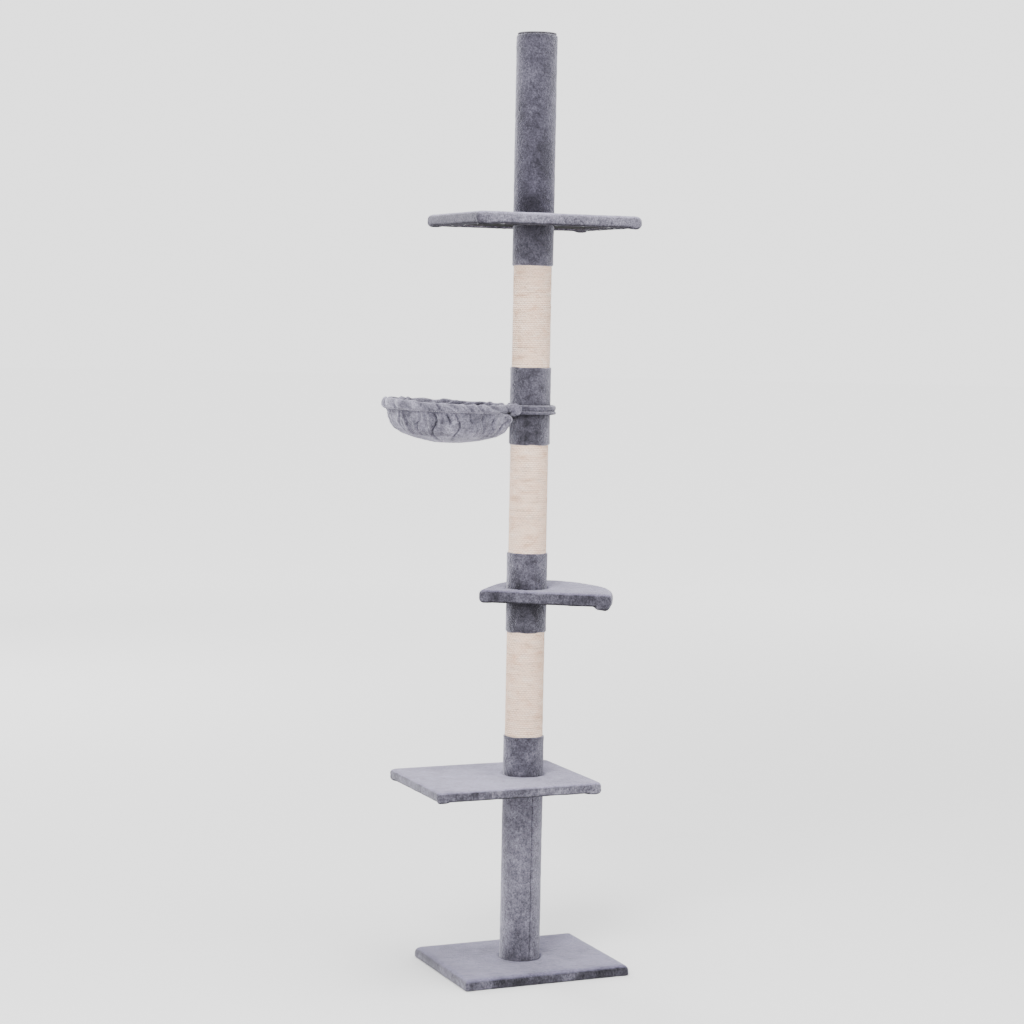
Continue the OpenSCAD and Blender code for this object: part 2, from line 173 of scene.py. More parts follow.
def plush(name, dark, mid, light, top=None, offset=0.0, sheen=0.85, patch=15.0, contact_shade_bands=(), tint=(0.76, 0.745, 0.87, 1), left=None, low=0.25):
    """Short velvet-like pile: crushed-nap patches, clumps and single fibres. Where the face looks up
    (top is given) it gets its own lighter colour, a painted highlight. bands: (z, height, depth) of darker pile,
    painted contact shade with crushed nap."""
    m, nt, b = new_mat(name)
    v = coords(nt)
    v0 = v
    if offset:
        mp = nt.nodes.new("ShaderNodeMapping")
        mp.inputs["Location"].default_value = (offset, offset * 0.7, offset * 1.3)
        nt.links.new(v, mp.inputs[0])
        v = mp.outputs[0]
    big = noise(nt, v, patch, 4, 0.62, 0.15)
    clump = noise(nt, v, 150, 3, 0.62, 0.0)
    grain = noise(nt, v, 300, 3, 0.6)
    fibre = noise(nt, v, 1500, 2, 0.6)
    mids = noise(nt, v, 34, 5, 0.66, 0.1)
    c = ramp(nt, big, [(0.36, lin(dark)), (0.5, lin(mid)), (0.66, lin(light))])
    crush = ramp(nt, mids, [(0.36, (0.64, 0.63, 0.64, 1)), (0.50, (1.0, 1.0, 1.0, 1)), (0.66, (1.25, 1.25, 1.24, 1))])
    c = mix(nt, 0.85, c, crush, "MULTIPLY")
    cl = ramp(nt, clump, [(0.36, (0.66, 0.65, 0.66, 1)), (0.5, (1.0, 1.0, 1.0, 1)), (0.66, (1.30, 1.30, 1.29, 1))])
    c = mix(nt, 0.85, c, cl, "MULTIPLY")
    # painted contact shade: each band darkens the pile towards (0.16, 0.15, 0.16) where the post meets a plate or the
    # pad, with a wobbly edge; it also stands for crushed nap
    if contact_shade_bands:
        sep = nt.nodes.new("ShaderNodeSeparateXYZ")
        nt.links.new(v0, sep.inputs[0])
        for z0, h, depth in contact_shade_bands:
            wob = nt.nodes.new("ShaderNodeMath")
            wob.operation = "MULTIPLY_ADD"
            nt.links.new(mids, wob.inputs[0])
            wob.inputs[1].default_value = abs(h) * 1.6
            nt.links.new(sep.outputs[2], wob.inputs[2])
            mr = nt.nodes.new("ShaderNodeMapRange")
            mr.interpolation_type = "SMOOTHSTEP"
            off = abs(h) * 0.8
            mr.inputs["From Min"].default_value = z0 + off
            mr.inputs["From Max"].default_value = z0 + h + off
            mr.inputs["To Min"].default_value = 1.0
            mr.inputs["To Max"].default_value = 0.0
            nt.links.new(wob.outputs[0], mr.inputs[0])
            sc = nt.nodes.new("ShaderNodeMath")
            sc.operation = "MULTIPLY"
            nt.links.new(mr.outputs[0], sc.inputs[0])
            sc.inputs[1].default_value = depth
            c = mix(nt, sc.outputs[0], c, (0.16, 0.15, 0.16, 1), "MULTIPLY")
    under = None
    # painted highlight: faces that look up get the lighter top colour, standing in for the top light and the sheen
    # seen there at a grazing angle
    if top:
        tc = nt.nodes.new("ShaderNodeTexCoord")
        sn = nt.nodes.new("ShaderNodeSeparateXYZ")
        nt.links.new(tc.outputs["Normal"], sn.inputs[0])
        mr = nt.nodes.new("ShaderNodeMapRange")
        mr.interpolation_type = "SMOOTHSTEP"
        mr.inputs["From Min"].default_value = 0.42
        mr.inputs["From Max"].default_value = 0.86
        nt.links.new(sn.outputs[2], mr.inputs[0])
        lit_top_colour = ramp(nt, big, [(0.36, lin([x * 0.93 for x in top])), (0.5, lin(top)), (0.66, lin([min(1, x * 1.05) for x in top]))])
        st2 = ramp(nt, mids, [(0.34, (0.74, 0.73, 0.75, 1)), (0.5, (1.0, 1.0, 1.0, 1)), (0.68, (1.14, 1.14, 1.14, 1))])
        smooth = mix(nt, 0.85, lit_top_colour, st2, "MULTIPLY")
        smooth = mix(nt, 0.75, smooth, ramp(nt, noise(nt, v, 7.5, 3, 0.6, 0.0), [(0.36, (0.80, 0.79, 0.81, 1)), (0.6, (1.06, 1.06, 1.06, 1))]), "MULTIPLY")
        c = mix(nt, mr.outputs[0], c, smooth)
        # painted shade on the undersides: faces that look down are darkened by the factor low
        under_shade_mask = nt.nodes.new("ShaderNodeMapRange")
        under_shade_mask.interpolation_type = "SMOOTHSTEP"
        under_shade_mask.inputs["From Min"].default_value = -0.35
        under_shade_mask.inputs["From Max"].default_value = -0.85
        nt.links.new(sn.outputs[2], under_shade_mask.inputs[0])
        c = mix(nt, under_shade_mask.outputs[0], c, mix(nt, 1.0, c, (low, low * 0.98, low, 1), "MULTIPLY"))
        under = under_shade_mask.outputs[0]
        if left:                                     # painted shade: faces turned towards -X are darkened by the factor left and lose half their sheen
            left_side_shade_mask = nt.nodes.new("ShaderNodeMapRange")
            left_side_shade_mask.interpolation_type = "SMOOTHSTEP"
            left_side_shade_mask.inputs["From Min"].default_value = -0.90
            left_side_shade_mask.inputs["From Max"].default_value = -0.45
            left_side_shade_mask.inputs["To Min"].default_value = 1.0
            left_side_shade_mask.inputs["To Max"].default_value = 0.0
            nt.links.new(sn.outputs[0], left_side_shade_mask.inputs[0])
            c = mix(nt, left_side_shade_mask.outputs[0], c, mix(nt, 1.0, c, (left, left * 0.99, left, 1), "MULTIPLY"))
    shade = ramp(nt, grain, [(0.34, (0.55, 0.55, 0.56, 1)), (0.66, (1.38, 1.38, 1.38, 1))])
    c = mix(nt, 0.65, c, shade, "MULTIPLY")
    shade2 = ramp(nt, fibre, [(0.3, (0.80, 0.80, 0.81, 1)), (0.7, (1.15, 1.15, 1.15, 1))])
    c = mix(nt, 0.7, c, shade2, "MULTIPLY")
    at = nt.nodes.new("ShaderNodeAttribute")
    at.attribute_name = "fold"                       # painted shade stored on the mesh: in creases, below the casing's rim and on undersides, 0 where there is none
    # painted shade: the colour is darkened towards (0.30, 0.29, 0.32) by the fold attribute
    c = mix(nt, at.outputs["Fac"], c, mix(nt, 1.0, c, (0.30, 0.29, 0.32, 1), "MULTIPLY"))
    nt.links.new(c, b.inputs["Base Color"])
    b.inputs["Roughness"].default_value = 0.95
    b.inputs["Specular IOR Level"].default_value = 0.1
    def less(a, f, k):                               # a * (1 - k f)
        q = nt.nodes.new("ShaderNodeMath")
        q.operation = "MULTIPLY_ADD"
        nt.links.new(f, q.inputs[0])
        q.inputs[1].default_value = -k
        q.inputs[2].default_value = 1.0
        r = nt.nodes.new("ShaderNodeMath")
        r.operation = "MULTIPLY"
        nt.links.new(q.outputs[0], r.inputs[0])
        if isinstance(a, float):
            r.inputs[1].default_value = a
        else:
            nt.links.new(a, r.inputs[1])
        return r.outputs[0]
    sw = less(float(sheen), at.outputs["Fac"], 0.75)
    if under is not None:
        sw = less(sw, under, 0.97 if low < 0.5 else 0.35)
    if left:
        sw = less(sw, left_side_shade_mask.outputs[0], 0.5)
    nt.links.new(sw, b.inputs["Sheen Weight"])
    b.inputs["Sheen Roughness"].default_value = 0.45
    b.inputs["Sheen Tint"].default_value = tint
    bump(nt, b, [(clump, 0.75, 0.0032), (grain, 0.7, 0.0016), (fibre, 0.5, 0.0006)])
    return m


def sisal_mat():
    m, nt, b = new_mat("sisal_rope")
    v = coords(nt)
    uv = coords(nt, True)
    base = ramp(nt, noise(nt, v, 26, 4, 0.65, 0.5, (1, 1, 2.6)), [(0.30, lin((0.900, 0.760, 0.660))), (0.5, lin((0.970, 0.862, 0.784))), (0.72, lin((0.990, 0.915, 0.858)))])
    # fibres that run along the strands, slanted across the rope
    mp = nt.nodes.new("ShaderNodeMapping")
    mp.inputs["Scale"].default_value = (1.0, 1.0, 1.0)
    nt.links.new(uv, mp.inputs[0])
    wave = nt.nodes.new("ShaderNodeTexWave")
    wave.wave_type = "BANDS"
    wave.bands_direction = "DIAGONAL"
    wave.wave_profile = "SIN"
    wave.inputs["Scale"].default_value = 0.32
    wave.inputs["Distortion"].default_value = 0.35
    wave.inputs["Detail"].default_value = 2
    wave.inputs["Detail Scale"].default_value = 1.4
    nt.links.new(mp.outputs[0], wave.inputs[0])
    fib = noise(nt, uv, 3.2, 4, 0.7, 0.2, (0.35, 3.0, 1))
    hair = noise(nt, v, 900, 3, 0.65, 0.0, (1, 1, 4))
    twist = ramp(nt, wave.outputs["Fac"], [(0.0, (0.62, 0.56, 0.50, 1)), (0.35, (0.97, 0.96, 0.95, 1)), (1.0, (1.04, 1.04, 1.04, 1))])
    c = mix(nt, 0.62, base, twist, "MULTIPLY")
    fs = ramp(nt, fib, [(0.3, (0.78, 0.74, 0.70, 1)), (0.6, (1.05, 1.05, 1.05, 1))])
    c = mix(nt, 0.55, c, fs, "MULTIPLY")
    # single turns darker at random, and short dark flecks along them
    turns = ramp(nt, noise(nt, v, 10, 4, 0.7, 0.0, (0.9, 0.9, 34)), [(0.31, (0.46, 0.42, 0.40, 1)), (0.41, (0.97, 0.95, 0.93, 1)), (0.7, (1.04, 1.04, 1.04, 1))])
    c = mix(nt, 0.8, c, turns, "MULTIPLY")
    fleck = ramp(nt, noise(nt, v, 90, 3, 0.7, 0.0, (0.8, 0.8, 5)), [(0.32, (0.42, 0.39, 0.37, 1)), (0.42, (1.0, 1.0, 1.0, 1)), (0.7, (1.06, 1.06, 1.06, 1))])
    c = mix(nt, 0.75, c, fleck, "MULTIPLY")
    nt.links.new(c, b.inputs["Base Color"])
    b.inputs["Roughness"].default_value = 0.82
    b.inputs["Specular IOR Level"].default_value = 0.3
    b.inputs["Sheen Weight"].default_value = 0.2
    b.inputs["Sheen Roughness"].default_value = 0.5
    bump(nt, b, [(wave.outputs["Fac"], 0.8, 0.0011), (fib, 0.5, 0.0005), (hair, 0.4, 0.0004)])
    return m


def steel_mat():
    m, nt, b = new_mat("zinc_steel")
    v = coords(nt)
    c = ramp(nt, noise(nt, v, 140, 4, 0.6), [(0.3, lin((0.60, 0.61, 0.62))), (0.7, lin((0.78, 0.79, 0.80)))])
    nt.links.new(c, b.inputs["Base Color"])
    b.inputs["Metallic"].default_value = 1.0
    r = nt.nodes.new("ShaderNodeMapRange")
    r.inputs["To Min"].default_value = 0.28
    r.inputs["To Max"].default_value = 0.5
    nt.links.new(noise(nt, v, 320, 3, 0.6), r.inputs[0])
    nt.links.new(r.outputs[0], b.inputs["Roughness"])
    bump(nt, b, [(noise(nt, v, 900, 2, 0.5), 0.15, 0.0003)])
    return m


def wood_mat():
    m, nt, b = new_mat("particle_board")
    v = coords(nt)
    vor = nt.nodes.new("ShaderNodeTexVoronoi")
    vor.inputs["Scale"].default_value = 420
    nt.links.new(v, vor.inputs["Vector"])
    c1 = ramp(nt, noise(nt, v, 300, 5, 0.7, 0.6), [(0.3, lin((0.55, 0.41, 0.27))), (0.5, lin((0.74, 0.60, 0.43))), (0.7, lin((0.85, 0.73, 0.56)))])
    c2 = ramp(nt, vor.outputs["Distance"], [(0.0, lin((0.80, 0.67, 0.50))), (0.8, lin((0.58, 0.43, 0.29)))])
    nt.links.new(mix(nt, 0.4, c1, c2), b.inputs["Base Color"])
    b.inputs["Roughness"].default_value = 0.75
    bump(nt, b, [(vor.outputs["Distance"], 0.3, 0.0006), (noise(nt, v, 700, 3), 0.3, 0.0005)])
    return m


def card_mat():
    m, nt, b = new_mat("cardboard")
    v = coords(nt)
    c = ramp(nt, noise(nt, v, 90, 5, 0.7, 0.3, (1, 1, 0.3)), [(0.3, lin((0.50, 0.39, 0.28))), (0.7, lin((0.67, 0.54, 0.41)))])
    nt.links.new(c, b.inputs["Base Color"])
    b.inputs["Roughness"].default_value = 0.85
    bump(nt, b, [(noise(nt, v, 500, 4, 0.7), 0.3, 0.0006)])
    return m


def felt_mat():
    m, nt, b = new_mat("lining_cloth")
    v = coords(nt)
    fib = noise(nt, v, 1100, 4, 0.7, 1.2)
    c = ramp(nt, fib, [(0.3, lin((0.07, 0.068, 0.070))), (0.7, lin((0.13, 0.127, 0.132)))])
    c = mix(nt, 0.5, c, ramp(nt, noise(nt, v, 30, 3), [(0.3, (0.8, 0.8, 0.8, 1)), (0.7, (1.15, 1.15, 1.15, 1))]), "MULTIPLY")
    nt.links.new(c, b.inputs["Base Color"])
    b.inputs["Roughness"].default_value = 0.95
    b.inputs["Sheen Weight"].default_value = 0.0
    b.inputs["Specular IOR Level"].default_value = 0.05
    vor = nt.nodes.new("ShaderNodeTexVoronoi")
    vor.inputs["Scale"].default_value = 480
    nt.links.new(v, vor.inputs["Vector"])
    bump(nt, b, [(vor.outputs["Distance"], 0.35, 0.0006), (fib, 0.5, 0.0005)])
    return m


def rubber_mat():
    m, nt, b = new_mat("pad_rubber_mat")
    v = coords(nt)
    c = ramp(nt, noise(nt, v, 60, 4, 0.6), [(0.3, lin((0.30, 0.292, 0.318))), (0.7, lin((0.38, 0.370, 0.400)))])
    nt.links.new(c, b.inputs["Base Color"])
    b.inputs["Roughness"].default_value = 0.7
    bump(nt, b, [(noise(nt, v, 1200, 3), 0.3, 0.0004)])
    return m


def thread_mat():
    m, nt, b = new_mat("sewing_thread")
    v = coords(nt)
    c = ramp(nt, noise(nt, v, 2500, 2), [(0.3, lin((0.40, 0.39, 0.43))), (0.7, lin((0.58, 0.57, 0.62)))])
    nt.links.new(c, b.inputs["Base Color"])
    b.inputs["Roughness"].default_value = 0.6
    b.inputs["Sheen Weight"].default_value = 0.3
    bump(nt, b, [(noise(nt, v, 3500, 2), 0.4, 0.0002)])
    return m


# the posts, plates, base and hammock are one grey-violet plush; their tones are set lighter or darker part by part for
# how light falls on each: painted light and shade
M_POST1 = plush("plush_post_1", (0.325, 0.316, 0.358), (0.380, 0.370, 0.418), (0.420, 0.410, 0.460), None, 0.0, contact_shade_bands=((0.462, -0.040, 0.75), (0.026, 0.045, 0.45)))
M_POST5 = plush("plush_top_post", (0.180, 0.173, 0.205), (0.232, 0.223, 0.264), (0.280, 0.271, 0.316), None, 2.3, 0.68, contact_shade_bands=((1.849, 0.075, 0.45), (2.280, -0.025, 0.35)))
COLLARS = {}
for _k, _b in (("post2_low", ((0.481, 0.025, 0.45),)), ("post2_high", ((0.917, -0.060, 0.75),)), ("post3_low", ((0.940, 0.03, 0.6),)),
               ("post3_high", ((1.376, -0.03, 0.45),)), ("post4_low", ((1.388, 0.03, 0.2),)), ("post4_high", ((1.824, -0.05, 0.6),))):
    # painted shade: three of the collars, two of them just under a plate, get darker copies of the collar tones
    _collar_shade = {"post2_high": 0.76, "post3_high": 0.80, "post4_low": 0.93}.get(_k, 1.0)
    COLLARS[_k] = plush("plush_collar_" + _k, [_collar_shade * x for x in (0.200, 0.192, 0.224)], [_collar_shade * x for x in (0.282, 0.273, 0.314)], [_collar_shade * x for x in (0.350, 0.341, 0.386)], None, 3.1 + 1.7 * len(COLLARS), contact_shade_bands=_b, patch=17.0)
M_BASE = plush("plush_base", (0.110, 0.105, 0.124), (0.180, 0.173, 0.202), (0.320, 0.310, 0.355), (0.420, 0.405, 0.492), 7.7, 0.6)
M_PLATE = plush("plush_platform_1", (0.160, 0.153, 0.180), (0.300, 0.291, 0.332), (0.440, 0.430, 0.478), (0.535, 0.518, 0.605), 4.7, 0.6)
M_PLATE2 = plush("plush_platform_2", (0.190, 0.183, 0.213), (0.262, 0.254, 0.291), (0.340, 0.331, 0.376), (0.455, 0.439, 0.525), 9.2, 0.6)
M_PLATE3 = plush("plush_platform_3", (0.335, 0.325, 0.368), (0.385, 0.374, 0.422), (0.430, 0.419, 0.469), (0.520, 0.504, 0.580), 12.4, 0.75, left=0.45)
M_LOOP = plush("plush_hammock_loop", (0.190, 0.183, 0.215), (0.255, 0.246, 0.287), (0.325, 0.315, 0.360), (0.340, 0.330, 0.378), 8.8, 0.9)
M_HAM = plush("plush_hammock", (0.295, 0.286, 0.328), (0.400, 0.390, 0.440), (0.490, 0.480, 0.532), (0.480, 0.467, 0.525), 5.3, 0.8, patch=22.0, low=0.9)
M_SISAL, M_STEEL, M_WOOD, M_CARD = sisal_mat(), steel_mat(), wood_mat(), card_mat()
M_FELT, M_RUBBER, M_THREAD = felt_mat(), rubber_mat(), thread_mat()

# ------------------------------------------------------------------ mesh helpers
def make(name, V, F, mat, body, nodes=(), uv=None, smooth=True):
    """V in millimetres."""
    me = bpy.data.meshes.new(name)
    me.from_pydata((np.asarray(V, float) * MM).tolist(), [], [tuple(int(i) for i in f) for f in F])
    me.validate()
    bm = bmesh.new()
    bm.from_mesh(me)
    bmesh.ops.recalc_face_normals(bm, faces=bm.faces)
    bm.to_mesh(me)
    bm.free()
    if uv is not None:
        layer = me.uv_layers.new(name="UVMap")
        idx = np.zeros(len(me.loops), np.int32)
        me.loops.foreach_get("vertex_index", idx)
        layer.data.foreach_set("uv", np.asarray(uv, np.float32)[idx].ravel())
    me.polygons.foreach_set("use_smooth", [smooth] * len(me.polygons))
    me.update()
    o = bpy.data.objects.new(name, me)
    bpy.context.scene.collection.objects.link(o)
    me.materials.append(mat)
    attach(o, body)
    if nodes:
        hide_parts(*nodes)
    return o


# stores painted shade per vertex, which the plush reads as the fold attribute
def painted_shade_attr(o, f):
    a = o.data.attributes.new("fold", "FLOAT", "POINT")
    a.data.foreach_set("value", np.clip(np.asarray(f, np.float32), 0, 1))


def ring_faces(a, b, n, flip=False):
    """Quads between two closed loops whose first indices are a and b."""
    i = np.arange(n)
    j = (i + 1) % n
    q = np.c_[a + i, a + j, b + j, b + i]
    return q[:, ::-1] if flip else q


def lathe(name, profile, mat, body, n=96, nodes=(), closed=True, centre=(0, 0), wob=None):
    """profile: (r, z) points of a closed section, counter-clockwise seen with +r right and +z up."""
    t = np.arange(n) * 2 * np.pi / n
    V, F = [], []
    for r, z in profile:
        V.append(np.c_[centre[0] + r * np.cos(t), centre[1] + r * np.sin(t), 0 * t + z])
    m = len(profile)
    for k in range(m if closed else m - 1):
        F.append(ring_faces(k * n, ((k + 1) % m) * n, n, True))
    V = np.vstack(V)
    if wob is not None:
        V = wob(V)
    return make(name, V, np.vstack(F), mat, body, nodes)


# ------------------------------------------------------------------ heights from the frame
def zz(n):
    lo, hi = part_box(n)
    return lo.z / MM, hi.z / MM


HAM_AZ = math.radians(162)
TILT = math.radians(1.5)
HAM_Z = sum(zz("clamp_disc")) / 2
PLUSH_R, TUBE_R, SISAL_R = 49.5, 42.0, 47.0

# ------------------------------------------------------------------ plates
D_HALF, D_DEPTH, D_TURN, D_SIDE, D_FRONT = 161.0, 238.0, -34.5, 56.0, 70.0
RECT = {}
for _n, _r in (("base", 8.0), ("platform1", 13.0), ("platform3", 14.0)):
    _lo, _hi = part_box(_n + "_cover")
    RECT[_n] = ((_hi.x - _lo.x) / 2 / MM, (_hi.y - _lo.y) / 2 / MM, _r, (_hi.x + _lo.x) / 2 / MM, (_hi.y + _lo.y) / 2 / MM)


def grid_shape(kind, e, nu, nv):
    """Points of a (nu x nv) grid that fills the plate's outline set in by e."""
    u = np.linspace(-1, 1, nu)
    v = np.linspace(-1, 1, nv)
    U, W = np.meshgrid(u, v, indexing="ij")
    if kind != "half":
        w, d, r, _, _ = RECT[kind]
        w, d = w - e, d - e
        r = max(3.5, r + (2.0 if r > 10 else -3.0) - 0.35 * e)
        X, Y = U * w, W * d
        px = np.clip((np.abs(X) - (w - r)) / r, 0, 1)
        py = np.clip((np.abs(Y) - (d - r)) / r, 0, 1)
        both = (px > 0) & (py > 0)
        X2 = np.where(both, np.sign(X) * (w - r + r * px * np.sqrt(1 - py * py / 2)), X)
        Y2 = np.where(both, np.sign(Y) * (d - r + r * py * np.sqrt(1 - px * px / 2)), Y)
        return np.stack([X2, Y2], -1)
    a, b = D_HALF - e, D_DEPTH - 2 * e
    T = (W + 1) / 2
    X = a * U * np.sqrt(1 - T * T / 2)
    Y = e + b * T * np.sqrt(1 - U * U / 2)
    P = np.stack([X, Y], -1)
    for _ in range(7):  # rounds the two corners
        Q = P.copy()
        Q[1:-1, 1:-1] = (P[2:, 1:-1] + P[:-2, 1:-1] + P[1:-1, 2:] + P[1:-1, :-2]) / 4
        Q[1:-1, 0] = (P[2:, 0] + P[:-2, 0]) / 2
        Q[1:-1, -1] = (P[2:, -1] + P[:-2, -1]) / 2
        Q[0, 1:-1] = (P[0, 2:] + P[0, :-2]) / 2
        Q[-1, 1:-1] = (P[-1, 2:] + P[-1, :-2]) / 2
        for ci, cj, di, dj in ((0, 0, 1, 1), (0, -1, 1, -2), (-1, 0, -2, 1), (-1, -1, -2, -2)):
            Q[ci, cj] = (P[di, cj] + P[ci, dj]) / 2
        P = 0.5 * P + 0.5 * Q
    # the smoothing draws the outline in a little, so bring its box back
    lo, hi = P.reshape(-1, 2).min(0), P.reshape(-1, 2).max(0)
    P = (P - lo) / (hi - lo) * np.array([2 * a, b]) + np.array([-a, e])
    P[..., 0] += 3.4 * sstep(0.3, 1.0, P[..., 0] / a)          # the pile stands out further at the free end
    return P


def loop_index(nu, nv):
    idx = np.arange(nu * nv).reshape(nu, nv)
    return np.concatenate([idx[:-1, 0], idx[-1, :-1], idx[:0:-1, -1], idx[0, :0:-1]])


def place2(kind, P):
    if kind != "half":
        return P + np.array(RECT[kind][3:5])
    P = P + np.array([D_SIDE, -D_FRONT])
    t = math.radians(D_TURN)
    c, s = math.cos(t), math.sin(t)
    return np.stack([c * P[..., 0] - s * P[..., 1], s * P[..., 0] + c * P[..., 1]], -1)


def plate_cover(name, body, kind, z_lo, z_hi, hem, pile, seed, nodes, hem_w=38.0, hole=0.0, floor=False, ru=10.0, rl=10.0, bulges=(), crown=0.6):
    """Plush pulled over a board and stapled under it. bulges: (corner, drop, reach before, reach after)."""
    nu, nv = (128, 102) if kind != "half" else (104, 82)
    zb, zt = z_lo, z_hi
    t = zt - zb
    top2 = place2(kind, grid_shape(kind, ru, nu, nv)).reshape(-1, 2)
    L = loop_index(nu, nv)
    n = len(L)
    rim = top2[L]
    tan = np.roll(rim, -1, 0) - np.roll(rim, 1, 0)
    tan /= np.linalg.norm(tan, axis=1)[:, None] + 1e-9
    nor = np.c_[tan[:, 1], -tan[:, 0]]
    for _ in range(3):
        nor = (nor + np.roll(nor, 1, 0) + np.roll(nor, -1, 0))
        nor /= np.linalg.norm(nor, axis=1)[:, None]
    arc = np.concatenate([[0], np.cumsum(np.linalg.norm(np.diff(np.vstack([rim, rim[:1]]), axis=0), axis=1))])
    total, arc = arc[-1], arc[:-1]
    cs = [0, nu - 1, nu + nv - 2, 2 * nu + nv - 3] if kind != "half" else [0, nu - 1]
    D = np.array([(arc - arc[c] + total / 2) % total - total / 2 for c in cs])
    dcor = np.abs(D).min(0)
    drop = np.zeros(n)
    step = np.zeros(n)
    for c, amt, before, after in bulges:
        d = D[c]
        f = sstep(-before - 7, -before + 2, d) * (1 - sstep(after - 2, after + 10, d))
        drop += amt * f * (1 + 0.12 * np.cos(d / 7.0))
        step += np.exp(-((d + before + 3) / 3.6) ** 2) + np.exp(-((d - after - 4) / 3.6) ** 2)
    full = place2(kind, grid_shape(kind, 0.0, nu, nv)).reshape(-1, 2)[L] - rim
    hemp = place2(kind, grid_shape(kind, 7 + hem_w, nu, nv)).reshape(-1, 2)[L]
    board_g = place2(kind, grid_shape(kind, 7.0, nu, nv)).reshape(-1, 2)
    board = board_g[L]
    z_b0, z_b1 = zb + hem, zt - pile
    V, F = [], []
    # top
    P3 = np.c_[top2, np.full(len(top2), zt)]
    r0 = np.hypot(top2[:, 0], top2[:, 1])
    P3[:, 2] += 0.55 * fbm(P3, 70, 3, seed) + 0.35 * fbm(P3, 14, 2, seed + 5) + 0.22 * vnoise(P3, 5, seed + 6)
    ii, jj = np.meshgrid(np.arange(nu), np.arange(nv), indexing="ij")
    edge = np.minimum(np.minimum(ii, nu - 1 - ii), np.minimum(jj, nv - 1 - jj)).reshape(-1)
    P3[:, 2] -= crown * np.exp(-edge / 2.2)
    rise = (sstep(0.15, 0.9, jj / (nv - 1.0)) * (5.6 - 4.2 * sstep(0.25, 0.95, ii / (nu - 1.0)))).reshape(-1)   # thicker pile at the back
    rise = rise * (kind == "half")
    P3[:, 2] += rise
    P3[:, 2] += 0.9 * np.exp(-((r0 - 58) / 6.0) ** 2) * (1 + 0.5 * vnoise(P3, 18, seed + 3))
    P3[:, 2] = np.where(r0 < 57, zt - 4.6 + (P3[:, 2] - zt + 4.6) * sstep(49.0, 56.0, r0), P3[:, 2])
    V.append(P3)
    idx = np.arange(nu * nv).reshape(nu, nv)
    q = np.stack([idx[:-1, :-1], idx[1:, :-1], idx[1:, 1:], idx[:-1, 1:]], -1).reshape(-1, 4)
    keep = np.ones(len(q), bool)
    if hole:
        inside = r0 < hole + 1.5
        keep = ~np.all(inside[q], axis=1)
    F.append(q[keep])
    # side rings: top rounding, upright face, bottom rounding
    base = nu * nv
    prev = L.copy()
    sec = []
    for k in range(1, 7):
        a = k * math.pi / 12
        sec.append((ru * math.sin(a), zt - crown - ru * (1 - math.cos(a)), a))
    za, zc_ = zt - crown - ru, zb + rl
    for k in range(1, 4):
        if za - zc_ > 1.5:
            sec.append((ru, za + (zc_ - za) * k / 4, math.pi / 2))
    for k in range(0, 7):
        a = k * math.pi / 12
        sec.append((ru - rl + rl * math.cos(a), zb + rl - rl * math.sin(a), math.pi / 2 + a))
    def add_loop(P):
        nonlocal base
        V.append(P)
        k = base
        base += len(P)
        return np.arange(k, k + n)
    def join(a, b):
        j = np.roll(np.arange(n), -1)
        F.append(np.c_[a, b, b[j], a[j]])
    a3 = np.c_[arc, 0 * arc, 0 * arc]
    for o, zz_, a in sec:
        P = np.c_[rim + full * (o / ru), zz_ + rise[L] * (zz_ - zb) / t]
        low = float(np.clip((zt - zz_ - 0.25 * t) / (0.75 * t), 0, 1))
        side = math.sin(a)
        out = side * (0.75 * fbm(P, 60, 3, seed + 9) + 0.65 * fbm(P, 12, 2, seed + 11) + 0.35 * vnoise(P, 4.5, seed + 12))
        nrm = np.c_[nor * math.sin(a), np.full(n, math.cos(a))]
        P = P + nrm * out[:, None]
        if not floor:
            P[:, 2] -= drop * low ** 1.3
            P[:, :2] += nor * (0.25 * drop * low * side)[:, None]
            P[:, :2] -= nor * (1.5 * low * np.clip(step, 0, 1))[:, None]
            P[:, 2] -= 0.8 * low * vnoise(a3, 38, seed + 21) + 0.35 * low * vnoise(a3, 9, seed + 22)
        else:
            P[:, 2] = np.maximum(P[:, 2], zb + 0.15)
        cur = add_loop(P)
        join(prev, cur)
        prev = cur
    # under side: the hem turned in
    H = 9
    wav = 2.2 * vnoise(np.c_[arc, 0 * arc, 0 * arc], 26, seed + 31) + 0.8 * vnoise(np.c_[arc, 0 * arc, 0 * arc], 9, seed + 33)
    lowrim = rim + full * ((ru - rl) / ru)
    hdir = hemp - lowrim
    hlen = np.linalg.norm(hdir, axis=1)[:, None]
    hemw = hemp + hdir / hlen * wav[:, None]
    fold = np.cos(D / 22.0 * 2 * np.pi * 1.15)[np.abs(D).argmin(0), np.arange(n)]
    for k in range(1, H + 1):
        s = k / H
        P = np.c_[lowrim + (hemw - lowrim) * s, np.full(n, zb)]
        if not floor:
            P[:, 2] -= drop * (1 - sstep(0.0, 0.6, s)) * 0.95
            P[:, 2] += (0.35 * fbm(P, 22, 3, seed + 41))
            P[:, 2] += 1.3 * np.exp(-((s - 0.72) / 0.10) ** 2)      # drawn in along the staples
            P[:, 2] += (1.6 * np.clip(np.abs(fold), 0, 1) * (s > 0.15) * np.exp(-(dcor / 30) ** 2))
            rr = np.hypot(P[:, 0], P[:, 1])
            up = 1 - sstep(50.5, 56.0, rr)
            P[:, 2] = P[:, 2] * (1 - up) + (zb + hem - 0.6) * up
        if s == 1:
            P[:, 2] += 1.6 if not floor else 0.0
        cur = add_loop(P)
        join(prev, cur)
        prev = cur
    cur = add_loop(np.c_[hemw, np.full(n, z_b0 - 0.1)]); join(prev, cur); prev = cur
    cur = add_loop(np.c_[(hemw + board) / 2, np.full(n, z_b0 - 0.1)]); join(prev, cur); prev = cur
    cur = add_loop(np.c_[board + nor * 0.1, np.full(n, z_b0 - 0.1)]); join(prev, cur); prev = cur
